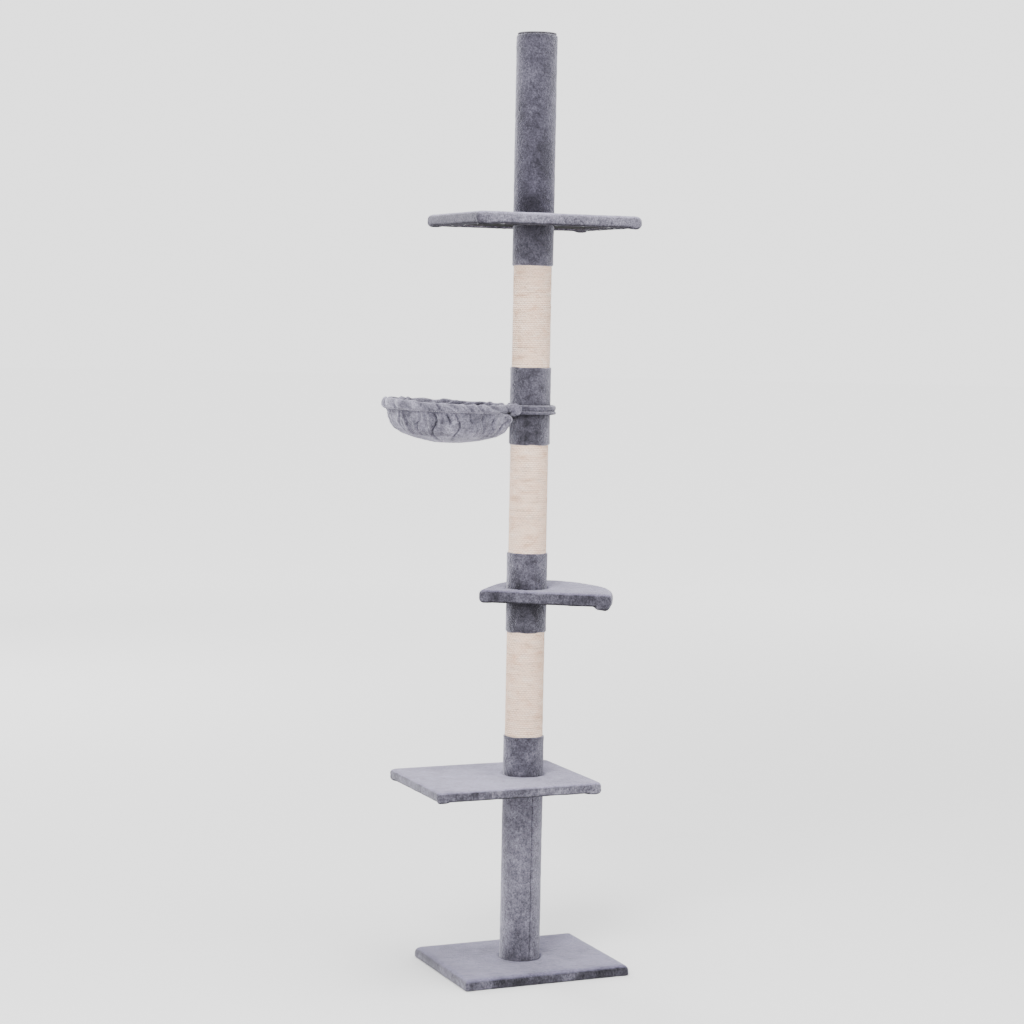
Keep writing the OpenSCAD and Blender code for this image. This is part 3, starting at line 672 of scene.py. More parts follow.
    # inner top, the same grid over the board
    ib = base
    V.append(np.c_[board_g, np.full(len(board_g), z_b1 + 0.1)])
    base += len(board_g)
    join(prev, ib + L)
    F.append((q[keep] + ib)[:, ::-1])
    VV = np.vstack(V)
    if hole:
        used = np.zeros(nu * nv, int)
        cnt = {}
        for f in q[keep]:
            for a, b in ((f[0], f[1]), (f[1], f[2]), (f[2], f[3]), (f[3], f[0])):
                cnt[(int(a), int(b))] = 1
        bound = [(a, b) for (a, b) in cnt if (b, a) not in cnt]
        rimset = set(int(x) for x in L)
        hb = [(a, b) for a, b in bound if not (a in rimset and b in rimset)]
        for a in set(x for e in hb for x in e):
            p = VV[a, :2]
            rr = np.hypot(*p) + 1e-9
            VV[a, :2] = p / rr * hole
            VV[ib + a, :2] = p / rr * hole
        F.append(np.array([[b, a, ib + a, ib + b] for a, b in hb]))
    quads = np.vstack(F)
    loose = np.setdiff1d(np.arange(len(VV)), np.unique(quads))
    if len(loose):
        remap = -np.ones(len(VV), int)
        keepv = np.setdiff1d(np.arange(len(VV)), loose)
        remap[keepv] = np.arange(len(keepv))
        VV, quads = VV[keepv], remap[quads]
    o = make(name, VV, quads, {"base": M_BASE, "platform1": M_PLATE, "half": M_PLATE2, "platform3": M_PLATE3}[kind], body, nodes)
    return o


z = {n: zz(n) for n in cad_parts}
def cover_z(n):
    return z[n][0], z[n][1]

plate_cover("base_cover_plush", "column", "base", *cover_z("base_cover"), 5, 8, 11, ["base_cover"], floor=True, ru=15.0, rl=4.0, crown=0.8)
plate_cover("platform1_cover_plush", "platform_1", "platform1", *cover_z("platform1_cover"), 4, 7, 23, ["platform1_cover"], ru=8.5, rl=9.5,
            bulges=((0, 2.4, 10, 14), (1, 3.2, 24, 6), (2, 3.0, 16, 14), (3, 2.6, 14, 16)))
plate_cover("platform3_cover_plush", "platform_3", "platform3", *cover_z("platform3_cover"), 5, 9, 37, ["platform3_cover"], hole=18.0, ru=12.0, rl=11.0,
            bulges=((0, 2.6, 10, 22), (1, 2.6, 16, 12), (2, 3.0, 18, 12), (3, 2.6, 12, 16)))
plate_cover("platform2_cover_plush", "platform_2", "half", *cover_z("platform2_cover"), 7, 11, 53, ["platform2_cover"], hem_w=30.0, ru=11.0, rl=11.0,
            bulges=((0, 0.8, 12, 14), (1, 7.8, 24, -2)))


def lining(name, body, kind, e, z0, z1, seed, node_name, wave=0.5):
    nu, nv = 60, 48
    P = place2(kind, grid_shape(kind, e, nu, nv)).reshape(-1, 2)
    L = loop_index(nu, nv)
    n = len(L)
    idx = np.arange(nu * nv).reshape(nu, nv)
    q = np.stack([idx[:-1, :-1], idx[1:, :-1], idx[1:, 1:], idx[:-1, 1:]], -1).reshape(-1, 4)
    P3 = np.c_[P, 0 * P[:, 0]]
    r0 = np.hypot(P[:, 0], P[:, 1])
    lo = z0 + wave * 0.5 * (1 + fbm(P3, 34, 3, seed)) * sstep(50, 60, r0)
    A = np.c_[P, np.full(len(P), z1)]
    B = np.c_[P, np.minimum(lo, z1 - 0.3)]
    j = np.roll(np.arange(n), -1)
    N = nu * nv
    side = np.c_[L, N + L, N + L[j], L[j]]
    o = make(name, np.vstack([A, B]), np.vstack([q, (q + N)[:, ::-1], side]), M_FELT, body, [node_name])
    return o


lining("base_pad_felt", "column", "base", 47.0, z["base_pad"][0], z["base_pad"][1], 3, "base_pad", 0.25)
lining("platform1_lining_cloth", "platform_1", "platform1", 47.5, z["platform1_lining"][0], z["platform1_lining"][1] - 0.1, 5, "platform1_lining")
lining("platform3_lining_cloth", "platform_3", "platform3", 47.5, z["platform3_lining"][0], z["platform3_lining"][1] - 0.1, 6, "platform3_lining")
lining("platform2_lining_cloth", "platform_2", "half", 39.5, z["platform2_lining"][0], z["platform2_lining"][1] - 0.1, 7, "platform2_lining")


def staples(name, body, places, z0, node_name):
    """U-shaped wire staples: a rounded crown with two legs driven up."""
    path = np.array([[-5.2, 0, 2.2], [-5.1, 0, 0.2], [-4.6, 0, -0.45], [-3.9, 0, -0.62], [0, 0, -0.66], [3.9, 0, -0.62], [4.6, 0, -0.45], [5.1, 0, 0.2], [5.2, 0, 2.2]])
    n = 8
    V, F = [], []
    base = 0
    for x, y, a in places:
        c, s = math.cos(a), math.sin(a)
        rings = []
        for i, p in enumerate(path):
            d = path[min(i + 1, len(path) - 1)] - path[max(i - 1, 0)]
            d /= np.linalg.norm(d)
            side = np.array([0, 1, 0])
            up = np.cross(d, side)
            t = np.arange(n) * 2 * np.pi / n
            ring = p + 0.62 * np.cos(t)[:, None] * side + 0.36 * np.sin(t)[:, None] * up
            rings.append(ring)
        W = np.vstack(rings)
        X = c * W[:, 0] - s * W[:, 1] + x
        Y = s * W[:, 0] + c * W[:, 1] + y
        V.append(np.c_[X, Y, W[:, 2] + z0])
        for i in range(len(path) - 1):
            F += ring_faces(base + i * n, base + (i + 1) * n, n).tolist()
        F.append(list(range(base, base + n))[::-1])
        F.append(list(range(base + (len(path) - 1) * n, base + len(path) * n)))
        base += len(W)
    return make(name, np.vstack(V), F, M_STEEL, body, [node_name])


def rect_places(x_off):
    w = 428 / 2 - 7 - 38 + 10
    d = 336 / 2 - 7 - 38 + 10
    out = []
    for i in range(-2, 3):
        for s in (-1, 1):
            out.append((x_off + i * w / 2.6, s * d, math.radians(i * 7)))
    for i in range(-1, 2):
        for s in (-1, 1):
            out.append((x_off + s * w, i * d / 1.7, math.radians(90 + i * 9)))
    return out


def half_places():
    e, out = 27.0, []
    a, b = D_HALF - e, D_DEPTH - 2 * e
    for i in range(9):
        t = math.radians(22 + 17 * i)
        out.append((a * math.cos(t), e + b * math.sin(t), math.atan2(b * math.cos(t), -a * math.sin(t))))
    for x in (-118, 18, 62, 108):
        out.append((x, e - 6, math.radians(x / 20)))
    t = math.radians(D_TURN)
    c, s = math.cos(t), math.sin(t)
    return [(c * (x + D_SIDE) - s * (y - D_FRONT), s * (x + D_SIDE) + c * (y - D_FRONT), a2 + t) for x, y, a2 in out]


staples("platform1_staple_set", "platform_1", rect_places(-75), z["platform1_cover"][0] + 1.0, "platform1_staples")
staples("platform3_staple_set", "platform_3", rect_places(0), z["platform3_cover"][0] + 1.0, "platform3_staples")
staples("platform2_staple_set", "platform_2", half_places(), z["platform2_cover"][0] + 1.0, "platform2_staples")

# ------------------------------------------------------------------ sleeves and collars
def sleeve(name, body, z0, z1, seed, nodes, seam=67.0, mat=None, frayed=(False, False), top_edge=None, slot="plush_post", in_r=42.05):
    """A plush tube: inner face, rolled lips, pile on the outside, a sewn seam down one side."""
    sa = math.radians(seam)
    near = sa + np.array([-4.2, -3.2, -2.4, -1.8, -1.2, -0.7, -0.3, 0, 0.3, 0.7, 1.2, 1.8, 2.4, 3.2, 4.2]) / PLUSH_R
    far = sa + np.linspace(5.6, 2 * np.pi * PLUSH_R - 5.6, 130) / PLUSH_R
    t = np.concatenate([near, far])
    n = len(t)
    h = z1 - z0
    m = max(8, int(h / 3.4))
    prof = []                                   # (r, z, weight of the pile, edge side)
    prof.append((in_r, z0 + 2.0, 0, 0))
    lip = 3.2
    for k in range(5):
        a = -math.pi / 2 + k * (math.pi / 2) / 4
        prof.append((PLUSH_R - lip + lip * math.cos(a), z0 + lip + lip * math.sin(a), 0.3 + 0.7 * k / 4, -1))
    prof.insert(1, (in_r + 1.2, z0, 0.1, -1))
    for k in range(1, m):
        prof.append((PLUSH_R, z0 + lip + (h - lip - (top_edge or lip)) * k / m, 1, 0))
    te = top_edge or lip
    for k in range(7 if top_edge else 5):
        a = k * (math.pi / 2) / (6 if top_edge else 4)
        prof.append((PLUSH_R - te + te * math.cos(a), z1 - te + te * math.sin(a), 1 - 0.7 * k / 4 if not top_edge else 1, 1))
    if top_edge:
        prof.append((39.0, z1 - 0.5, 0.5, 1))
        prof.append((37.2, z1 - 2.0, 0.2, 1))
        prof.append((37.2, z1 - 10.5, 0, 0))
        prof.append((in_r, z1 - 10.8, 0, 0))
        prof.append((in_r, z1 - 12.5, 0, 0))
    else:
        prof.append((in_r + 1.2, z1, 0.1, 1))
        prof.append((in_r, z1 - 2.0, 0, 0))
    V = []
    ds = (t - sa + np.pi) % (2 * np.pi) - np.pi
    arc = ds * PLUSH_R
    for r, zc, w, e in prof:
        P = np.c_[r * np.cos(t), r * np.sin(t), np.full(n, zc)]
        f = 0.55 * fbm(P, 55, 2, seed) + 0.42 * fbm(P, 12, 2, seed + 3) + 0.22 * vnoise(P, 4.5, seed + 5)
        rr = r + w * f
        sag = w * (-4.2 * np.exp(-(arc / 1.25) ** 2) + 0.7 * np.exp(-((np.abs(arc) - 4.2) / 2.4) ** 2))
        sag = sag * (1 + 0.25 * vnoise(np.c_[0 * arc, 0 * arc, 0 * arc + zc], 16, seed + 9))
        rr = rr + sag
        z2 = np.full(n, zc)
        for side, fr in ((-1, frayed[0]), (1, frayed[1])):
            if fr and (zc - z0 if side < 0 else z1 - zc) < 14:
                k = 1 - (zc - z0 if side < 0 else z1 - zc) / 14
                rr = rr + w * 0.55 * k
                z2 = z2 + side * k * (1.5 * vnoise(np.c_[25 * np.cos(t), 25 * np.sin(t), 0 * t], 14, seed + 13 + side) + 0.5 * vnoise(np.c_[25 * np.cos(t), 25 * np.sin(t), 0 * t], 4, seed + 15))
        V.append(np.c_[rr * np.cos(t), rr * np.sin(t), z2])
    k = len(prof)
    F = np.vstack([ring_faces(i * n, ((i + 1) % k) * n, n, True) for i in range(k)])[:, ::-1]
    o = make(name, np.vstack(V), F, mat or M_POST1, body, nodes)
    return o


sleeve("post1_plush_sleeve", "column", *z["post1_plush"], 101, ["post1_plush"], seam=-84.0)
for p, sd in (("post2", 120), ("post3", 150), ("post4", 180)):
    sleeve(p + "_collar_low_plush", "column", *z[p + "_collar_low"], sd, [p + "_collar_low"], seam=80, mat=COLLARS[p + "_low"], frayed=(False, True))
    sleeve(p + "_collar_high_plush", "column", *z[p + "_collar_high"], sd + 7, [p + "_collar_high"], seam=95, mat=COLLARS[p + "_high"], frayed=(True, False))
sleeve("top_plush_sleeve", "top_post", *z["top_plush"], 211, ["top_plush"], seam=60.0, top_edge=6.0, mat=M_POST5)


def rope(name, body, z0, z1, seed, node_name):
    """Sisal rope wound round the tube, its turns side by side."""
    pitch, rr = 5.05, 2.52
    za, zb = z0 + rr * 0.2, z1 - rr * 0.2
    turns = (zb - za) / pitch
    per = 96
    n = int((turns + 2) * per)
    t = (np.arange(n + 1) / per - 1) * 2 * np.pi
    s = t / (2 * np.pi)
    zc = np.clip(za + s * pitch, za, zb)          # a flat turn at each end tucks under the collar
    Rm = TUBE_R + rr - 0.15
    C = np.c_[Rm * np.cos(t), Rm * np.sin(t), zc]
    press = 0.28 * vnoise(C, 22, seed) + 0.16 * vnoise(np.c_[0 * s, 0 * s, s], 1.3, seed + 2)
    loose = vnoise(np.c_[0 * s, 0 * s, s], 5.5, seed + 4)
    drop = -1.1 * np.clip(loose - 0.72, 0, 1) * 3.4
    dz = 0.30 * vnoise(np.c_[0 * s, 0 * s, s], 2.1, seed + 6) + 0.18 * vnoise(C, 13, seed + 8)
    radius = rr * (1 + 0.05 * vnoise(np.c_[s * 30, 0 * s, 0 * s], 1.7, seed + 10))
    m = 10
    a = np.arange(m) * 2 * np.pi / m
    length = s * 2 * np.pi * Rm
    tw = length / 16.0 * 2 * np.pi
    V = np.zeros((n + 1, m, 3))
    uv = np.zeros((n + 1, m, 2))
    for j in range(m):
        # three strands show as slow lobes round the section
        q = radius * (1 + 0.055 * np.cos(3 * (a[j] - tw / 1.0)))
        er = q * math.cos(a[j]) * 0.98
        ez = q * math.sin(a[j]) * 1.02
        R = Rm + press + drop + er
        V[:, j, 0] = R * np.cos(t)
        V[:, j, 1] = R * np.sin(t)
        V[:, j, 2] = zc + dz + ez
        uv[:, j, 0] = length * 0.25
        uv[:, j, 1] = j / m * 3.0
    V[:, :, 2] = np.clip(V[:, :, 2], z0 - 1.5, z1 + 1.5)
    i = np.arange(n)
    F = []
    for j in range(m):
        k = (j + 1) % m
        F.append(np.c_[i * m + j, i * m + k, (i + 1) * m + k, (i + 1) * m + j])
    F = np.vstack(F).tolist()
    F.append(list(range(m))[::-1])
    F.append([n * m + x for x in range(m)])
    return make(name, V.reshape(-1, 3), F, M_SISAL, body, [node_name], uv=uv.reshape(-1, 2))


for p, sd in (("post2", 301), ("post3", 331), ("post4", 367)):
    rope(p + "_sisal_rope", "column", *z[p + "_sisal"], sd, p + "_sisal")

# ------------------------------------------------------------------ hammock
def ham(P):
    """local (x towards the hammock, y left of it, z from the loop's middle) to the frame, mm"""
    c, s = math.cos(HAM_AZ), math.sin(HAM_AZ)
    P = np.asarray(P, float)
    return np.stack([c * P[..., 0] - s * P[..., 1], s * P[..., 0] + c * P[..., 1], P[..., 2] + HAM_Z], -1)


def ring(P):
    """ring-centred coordinates to local ones, with the ring's slight upward tilt"""
    P = np.asarray(P, float)
    x = P[..., 0] + 148
    c, s = math.cos(TILT), math.sin(TILT)
    return np.stack([56 + c * x - s * P[..., 2], P[..., 1], s * x + c * P[..., 2]], -1)


def ruffle(th, seed):
    """puckers along the rim, between 0 and 1, unevenly spaced"""
    k = np.c_[148 * np.cos(th), 148 * np.sin(th), 0 * th]
    ph = 23 * th + 3.4 * vnoise(k, 60, seed) + 1.6 * vnoise(k, 25, seed + 1)
    return ph, 0.65 + 0.45 * vnoise(k, 45, seed + 2)


def casing():
    n, m = 760, 32
    gap = math.radians(10.5)
    th = np.pi + gap + np.arange(n + 1) / n * (2 * np.pi - 2 * gap)
    ps = np.arange(m) * 2 * np.pi / m
    ph, amt = ruffle(th, 71)
    endd = np.minimum(th - th[0], th[-1] - th)
    endf = sstep(0, 0.16, endd)
    V = np.zeros((n + 1, m, 3))
    fold = np.zeros((n + 1, m))
    k3 = np.c_[148 * np.cos(th), 148 * np.sin(th), 0 * th]
    topw = 2.0 * vnoise(k3, 34, 77) + 1.5 * vnoise(k3, 13, 78)
    lowk = 0.8 * vnoise(k3, 20, 79)
    far = 4.4 * sstep(0.35, 0.85, np.cos(th))                          # fullest at the end away from the column
    for j in range(m):
        cx, cz = math.cos(ps[j]), math.sin(ps[j])
        # each pucker runs slantwise up the channel and folds over on one side
        slant = 2.6 * cz + 0.9 * cx
        q = (ph + slant) / (2 * np.pi)
        q = q - np.floor(q)
        saw = np.where(q < 0.72, q / 0.72, (1 - q) / 0.28)           # slow rise, quick fall
        pk = saw * saw * (3 - 2 * saw)
        amp = (pk - 0.5) * 7.6 * amt * (0.35 + 0.65 * endf)
        side = abs(cx) ** 0.6
        a = 7.4 + amp * side * (1.0 if cx > 0 else 0.75)
        b = np.where(cz > 0, 10.6 + far + topw * max(cz, 0) + 2.6 * (pk - 0.5) * amt, 11.3 + lowk + 0.8 * (pk - 0.5) * amt)
        low = max(-cz, 0)
        a = a * (1 - 0.45 * low ** 3)
        # painted shade kept in the fold attribute: in the hollow of each pucker and along the bottom of the casing
        fold[:, j] = (1 - sstep(0.05, 0.55, pk)) * amt * side * 0.62 * sstep(-1.0, -0.2, cz) + 0.5 * sstep(0.78, 1.0, low)
        rho = 148 + a * cx * (0.80 + 0.20 * endf)
        V[:, j, 0] = rho * np.cos(th)
        V[:, j, 1] = rho * np.sin(th)
        V[:, j, 2] = b * cz * (0.74 + 0.26 * endf)
    W = V.reshape(-1, 3)
    nz = 0.5 * fbm(W, 9, 2, 81) + 0.25 * vnoise(W, 3.5, 83)
    cen = np.repeat(np.c_[148 * np.cos(th), 148 * np.sin(th), 0 * th], m, 0)
    d = W - cen
    d /= np.linalg.norm(d, axis=1)[:, None] + 1e-9
    W = W + d * nz[:, None]
    inner = W - d * 2.0
    V2 = np.vstack([W, inner])
    N = len(W)
    F = []
    i = np.arange(n)
    for j in range(m):
        k = (j + 1) % m
        F.append(np.c_[i * m + j, (i + 1) * m + j, (i + 1) * m + k, i * m + k])
        F.append(np.c_[i * m + j, i * m + k, (i + 1) * m + k, (i + 1) * m + j] + N)
    j = np.arange(m)
    k = (j + 1) % m
    F.append(np.c_[j, k, N + k, N + j])
    e = n * m
    F.append(np.c_[e + j, N + e + j, N + e + k, e + k])
    o = make("hammock_casing_plush", ham(ring(V2)), np.vstack(F), M_HAM, "hammock", ["hammock_casing"])
    painted_shade_attr(o, np.r_[fold.ravel(), fold.ravel()])
    return o


casing()

PROFILE = np.array([[147.9, -7.4], [144.2, -13.0], [142.3, -24.5], [139.5, -40.8], [132.0, -56.1], [113.5, -68.3], [81.3, -78.5], [39.6, -86.0], [0, -88.0]])
SHIFT = np.array([0.0, -2.5, -5.0, -7.4, -10.4, -10.1, -8.3, -5.5, -4.9])        # the bag hangs in towards the column


CREASES = [(0.06, 2.6, 3.8, -46), (0.30, 2.6, 4.2, -45), (0.60, 3.6, 9.0, -50), (0.80, 2.4, 3.0, -30), (1.00, 3.0, 4.4, -60), (1.29, 3.8, 10.0, -74),
           (1.52, 3.6, 8.0, -30), (1.70, 3.0, 6.5, -64), (1.93, 2.6, 3.4, -40), (2.18, 2.8, 3.6, -55), (2.42, 2.8, 5.2, -44), (2.66, 2.6, 5.6, -38)]
CREASES += [(-a - 0.09, w_ * 1.05, m_ * 0.9, l_ + 4) for a, w_, m_, l_ in CREASES]


def pouch():
    nt, nr = 260, 50
    seg = np.r_[0, np.cumsum(np.linalg.norm(np.diff(PROFILE[::-1], axis=0), axis=1))]
    flat_r = 187.0
    s = np.linspace(0, 1, nr + 1)[1:]
    pr = np.interp(s * seg[-1], seg, PROFILE[::-1, 0])
    pz = np.interp(s * seg[-1], seg, PROFILE[::-1, 1])
    th = np.arange(nt) * 2 * np.pi / nt
    k3 = np.c_[148 * np.cos(th), 148 * np.sin(th), 0 * th]
    V, flat = [np.array([[0, 0, pz[0] + 0.5]])], [np.array([[0, 0, 0.0]])]
    for j in range(nr):
        g = max(0.0, s[j] * flat_r / max(pr[j], 1e-6) - 1)
        A = 2 * pr[j] / 17 * math.sqrt(g) * 0.72
        ph = 17 * th + 2.6 * vnoise(k3, 70, 91) + 1.0 * vnoise(k3, 30, 92)
        w = A * np.cos(ph)
        r = pr[j] + w
        if j >= nr - 3:                             # the edge is sewn flat into the casing
            w = w * (0.1, 0.35, 0.7)[nr - 1 - j]
            r = pr[j] + w
        V.append(np.c_[r * np.cos(th), r * np.sin(th), pz[j] + 0.25 * w])
        flat.append(np.c_[s[j] * flat_r * np.cos(th), s[j] * flat_r * np.sin(th), 0 * th])
    V, flat = np.vstack(V), np.vstack(flat)
    F = [[0, 1 + (i + 1) % nt, 1 + i] for i in range(nt)]
    for j in range(nr - 1):
        F += ring_faces(1 + j * nt, 1 + (j + 1) * nt, nt).tolist()
    me = bpy.data.meshes.new("pouch_sim")
    me.from_pydata((V * MM).tolist(), [], F)
    sim = bpy.data.objects.new("pouch_sim", me)
    bpy.context.scene.collection.objects.link(sim)
    sim.shape_key_add(name="Basis")
    kb = sim.shape_key_add(name="flat")
    kb.data.foreach_set("co", (flat * MM).astype(np.float32).ravel())
    kb.value = 0.0
    vg = sim.vertex_groups.new(name="pin")
    vg.add(list(range(1 + (nr - 1) * nt, 1 + nr * nt)), 1.0, "REPLACE")
    vg.add(list(range(1 + (nr - 2) * nt, 1 + (nr - 1) * nt)), 0.5, "REPLACE")
    md = sim.modifiers.new("Cloth", "CLOTH")
    st = md.settings
    st.quality = 7
    st.mass = 0.35
    st.air_damping = 3.0
    st.tension_stiffness = st.compression_stiffness = 28
    st.shear_stiffness = 12
    st.bending_stiffness = 2.2
    st.tension_damping = st.compression_damping = 8
    st.shear_damping = 8
    st.vertex_group_mass = "pin"
    st.rest_shape_key = kb
    md.collision_settings.use_collision = False
    md.collision_settings.use_self_collision = False
    md.point_cache.frame_start = 1
    md.point_cache.frame_end = 34
    sc = bpy.context.scene
    for f in range(1, 35):
        sc.frame_set(f)
    dg = bpy.context.evaluated_depsgraph_get()
    ev = sim.evaluated_get(dg)
    co = np.zeros(len(ev.data.vertices) * 3, np.float32)
    ev.data.vertices.foreach_get("co", co)
    got = co.reshape(-1, 3).astype(float) / MM
    sc.frame_set(1)
    bpy.data.objects.remove(sim)
    if np.isfinite(got).all() and np.abs(got).max() < 400:
        # keep the simulated folds, and bring each ring's mean back to the pouch's own outline
        for j in range(nr):
            sl = slice(1 + j * nt, 1 + (j + 1) * nt)
            r = np.hypot(got[sl, 0], got[sl, 1])
            a = np.arctan2(got[sl, 1], got[sl, 0])
            dr = 6.5 * np.tanh((r - r.mean()) / 10.0)
            dz = 5.0 * np.tanh((got[sl, 2] - got[sl, 2].mean()) / 9.0)
            V[sl] = np.c_[(pr[j] + dr) * np.cos(a), (pr[j] + dr) * np.sin(a), pz[j] + dz]
        V[0] = [0, 0, V[1:1 + nt, 2].mean()]
    # deep creases where the cloth is gathered, each hooked a little, as on the near side
    az = np.arctan2(V[:, 1], V[:, 0])
    rr = np.hypot(V[:, 0], V[:, 1])
    kk = np.c_[148 * np.cos(az), 148 * np.sin(az), 0 * az]
    dep = V[:, 2] - PROFILE[0, 1]
    cre = np.zeros(len(V))
    rim_w = sstep(-70, -30, dep) * sstep(40, 80, rr)
    for a0, wd, am, lo_ in CREASES:
        bend = a0 + 0.045 * np.sin(dep / 10.0 + a0 * 3) + 0.0012 * dep
        d = ((az - bend + np.pi) % (2 * np.pi) - np.pi) * rr
        f = np.exp(-(d / wd) ** 2) - 0.36 * np.exp(-((d - 2.6 * wd) / (1.9 * wd)) ** 2) - 0.30 * np.exp(-((d + 2.3 * wd) / (1.5 * wd)) ** 2)
        cre -= am * f * sstep(lo_ - 14, lo_ + 8, dep) * sstep(-3.0, -11, dep) * sstep(28, 70, rr)
    # painted shade kept in the fold attribute: the deeper a crease, the darker the pile
    fold = np.clip(-cre / 6.5, 0, 1) * 0.85
    puff = 2.4 * vnoise(np.c_[kk[:, :2], dep * 0.6], 34, 201) + 1.1 * vnoise(np.c_[kk[:, :2], dep * 0.5], 15, 203)
    out = (cre + puff * (0.3 + 0.7 * rim_w))
    nx = np.where(rr > 1, V[:, 0] / np.maximum(rr, 1), 0)
    ny = np.where(rr > 1, V[:, 1] / np.maximum(rr, 1), 0)
    steep = sstep(-86, -50, V[:, 2])
    V[:, 0] += nx * out * (0.25 + 0.75 * steep)
    V[:, 1] += ny * out * (0.25 + 0.75 * steep)
    V[:, 2] -= out * (0.55 - 0.45 * steep)
    # the bag hangs in towards the column, and its rim is drawn taut to the two junctions beside the post
    V[:, 0] += np.interp(V[:, 2], PROFILE[::-1, 1], SHIFT[::-1])
    alpha = np.arctan2(np.abs(V[:, 1]), -V[:, 0])
    wj = np.exp(-((alpha - 0.36) / 0.24) ** 2) * sstep(60, 120, rr)
    V[:, 0] -= 21.0 * wj * np.interp(V[:, 2], [-54, -40, -27, -15, -8], [0, 0.36, 1, 0.75, 0.1])
    V[:, 1] += np.sign(V[:, 1]) * 3.0 * wj
    V[:, 2] -= 4.0 * wj * sstep(-30, -10, V[:, 2])
    taut = np.cos((alpha - 0.1) * 26 + V[:, 2] * 0.05) * 2.4 * np.exp(-((alpha - 0.42) / 0.25) ** 2) * sstep(-75, -35, V[:, 2])
    V[:, 0] += nx * taut
    V[:, 1] += ny * taut
    dist = np.hypot(V[:, 0] + 204, V[:, 1])
    push = np.maximum(53.5 - dist, 0)
    V[:, 0] += push * (V[:, 0] + 204) / dist
    V[:, 1] += push * V[:, 1] / dist
    V = V + 0.35 * np.stack([vnoise(V, 8, 95), vnoise(V, 8, 96), vnoise(V, 8, 97)], -1)
    # two faces, 3.2 mm apart
    me = bpy.data.meshes.new("tmp")
    me.from_pydata(V.tolist(), [], F)
    me.update()
    nrm = np.array([v.normal[:] for v in me.vertices])
    bpy.data.meshes.remove(me)
    if nrm[0, 2] > 0:
        nrm = -nrm
    N = len(V)
    W = np.vstack([V + nrm * 1.2, V - nrm * 2.0])
    rim = 1 + (nr - 1) * nt
    FF = [list(f) for f in F] + [[x + N for x in f][::-1] for f in F]
    i = np.arange(nt)
    j = (i + 1) % nt
    FF += np.c_[rim + j, rim + i, N + rim + i, N + rim + j][:, ::-1].tolist()
    W = W + 0.22 * np.repeat(vnoise(W, 3.2, 98)[:, None], 3, 1) * np.vstack([nrm, nrm])
    o = make("hammock_pouch_plush", ham(ring(W)), FF, M_HAM, "hammock", ["hammock_pouch"])
    # more painted shade just below the casing's rim
    fold = np.clip(fold + 0.35 * sstep(-15, -9.5, V[:, 2]), 0, 1)
    painted_shade_attr(o, np.r_[fold, fold])
    return o


pouch()


def stitches(name, body, pts, nor, mat, length=3.4, w=0.45):
    """short sewn stitches: little capsules along a line of (centre, tangent)"""
    V, F, base = [], [], 0
    n = 6
    for p, d, u in pts:
        d = d / np.linalg.norm(d)
        u = u - d * (u @ d)
        u /= np.linalg.norm(u)
        v = np.cross(d, u)
        for k, (x, r) in enumerate(((-0.5, 0.15), (-0.36, 0.85), (0, 1.0), (0.36, 0.85), (0.5, 0.15))):
            t = np.arange(n) * 2 * np.pi / n
            lift = -0.5 * (2 * x) ** 2
            V.append(p + d * x * length + u * lift + w * r * (np.cos(t)[:, None] * u + np.sin(t)[:, None] * v))
        for k in range(4):
            F += ring_faces(base + k * n, base + (k + 1) * n, n).tolist()
        F.append(list(range(base, base + n))[::-1])
        F.append(list(range(base + 4 * n, base + 5 * n)))
        base += 5 * n
    return make(name, np.vstack(V), F, mat, body)


def seam_stitches():
    gap = math.radians(12)
    th = np.arange(np.pi + gap, 3 * np.pi - gap, 5.2 / 148)
    out = []
    for t in th:
        p = np.array([(148 + 4.9) * math.cos(t), (148 + 4.9) * math.sin(t), -9.2])
        d = np.array([-math.sin(t), math.cos(t), 0])
        u = np.array([math.cos(t), math.sin(t), -0.35])
        q = ham(ring(np.array([p, p + d, p + u])))
        out.append((q[0], q[1] - q[0], q[2] - q[0]))
    stitches("hammock_seam_stitches", "hammock", out, None, M_THREAD)


seam_stitches()


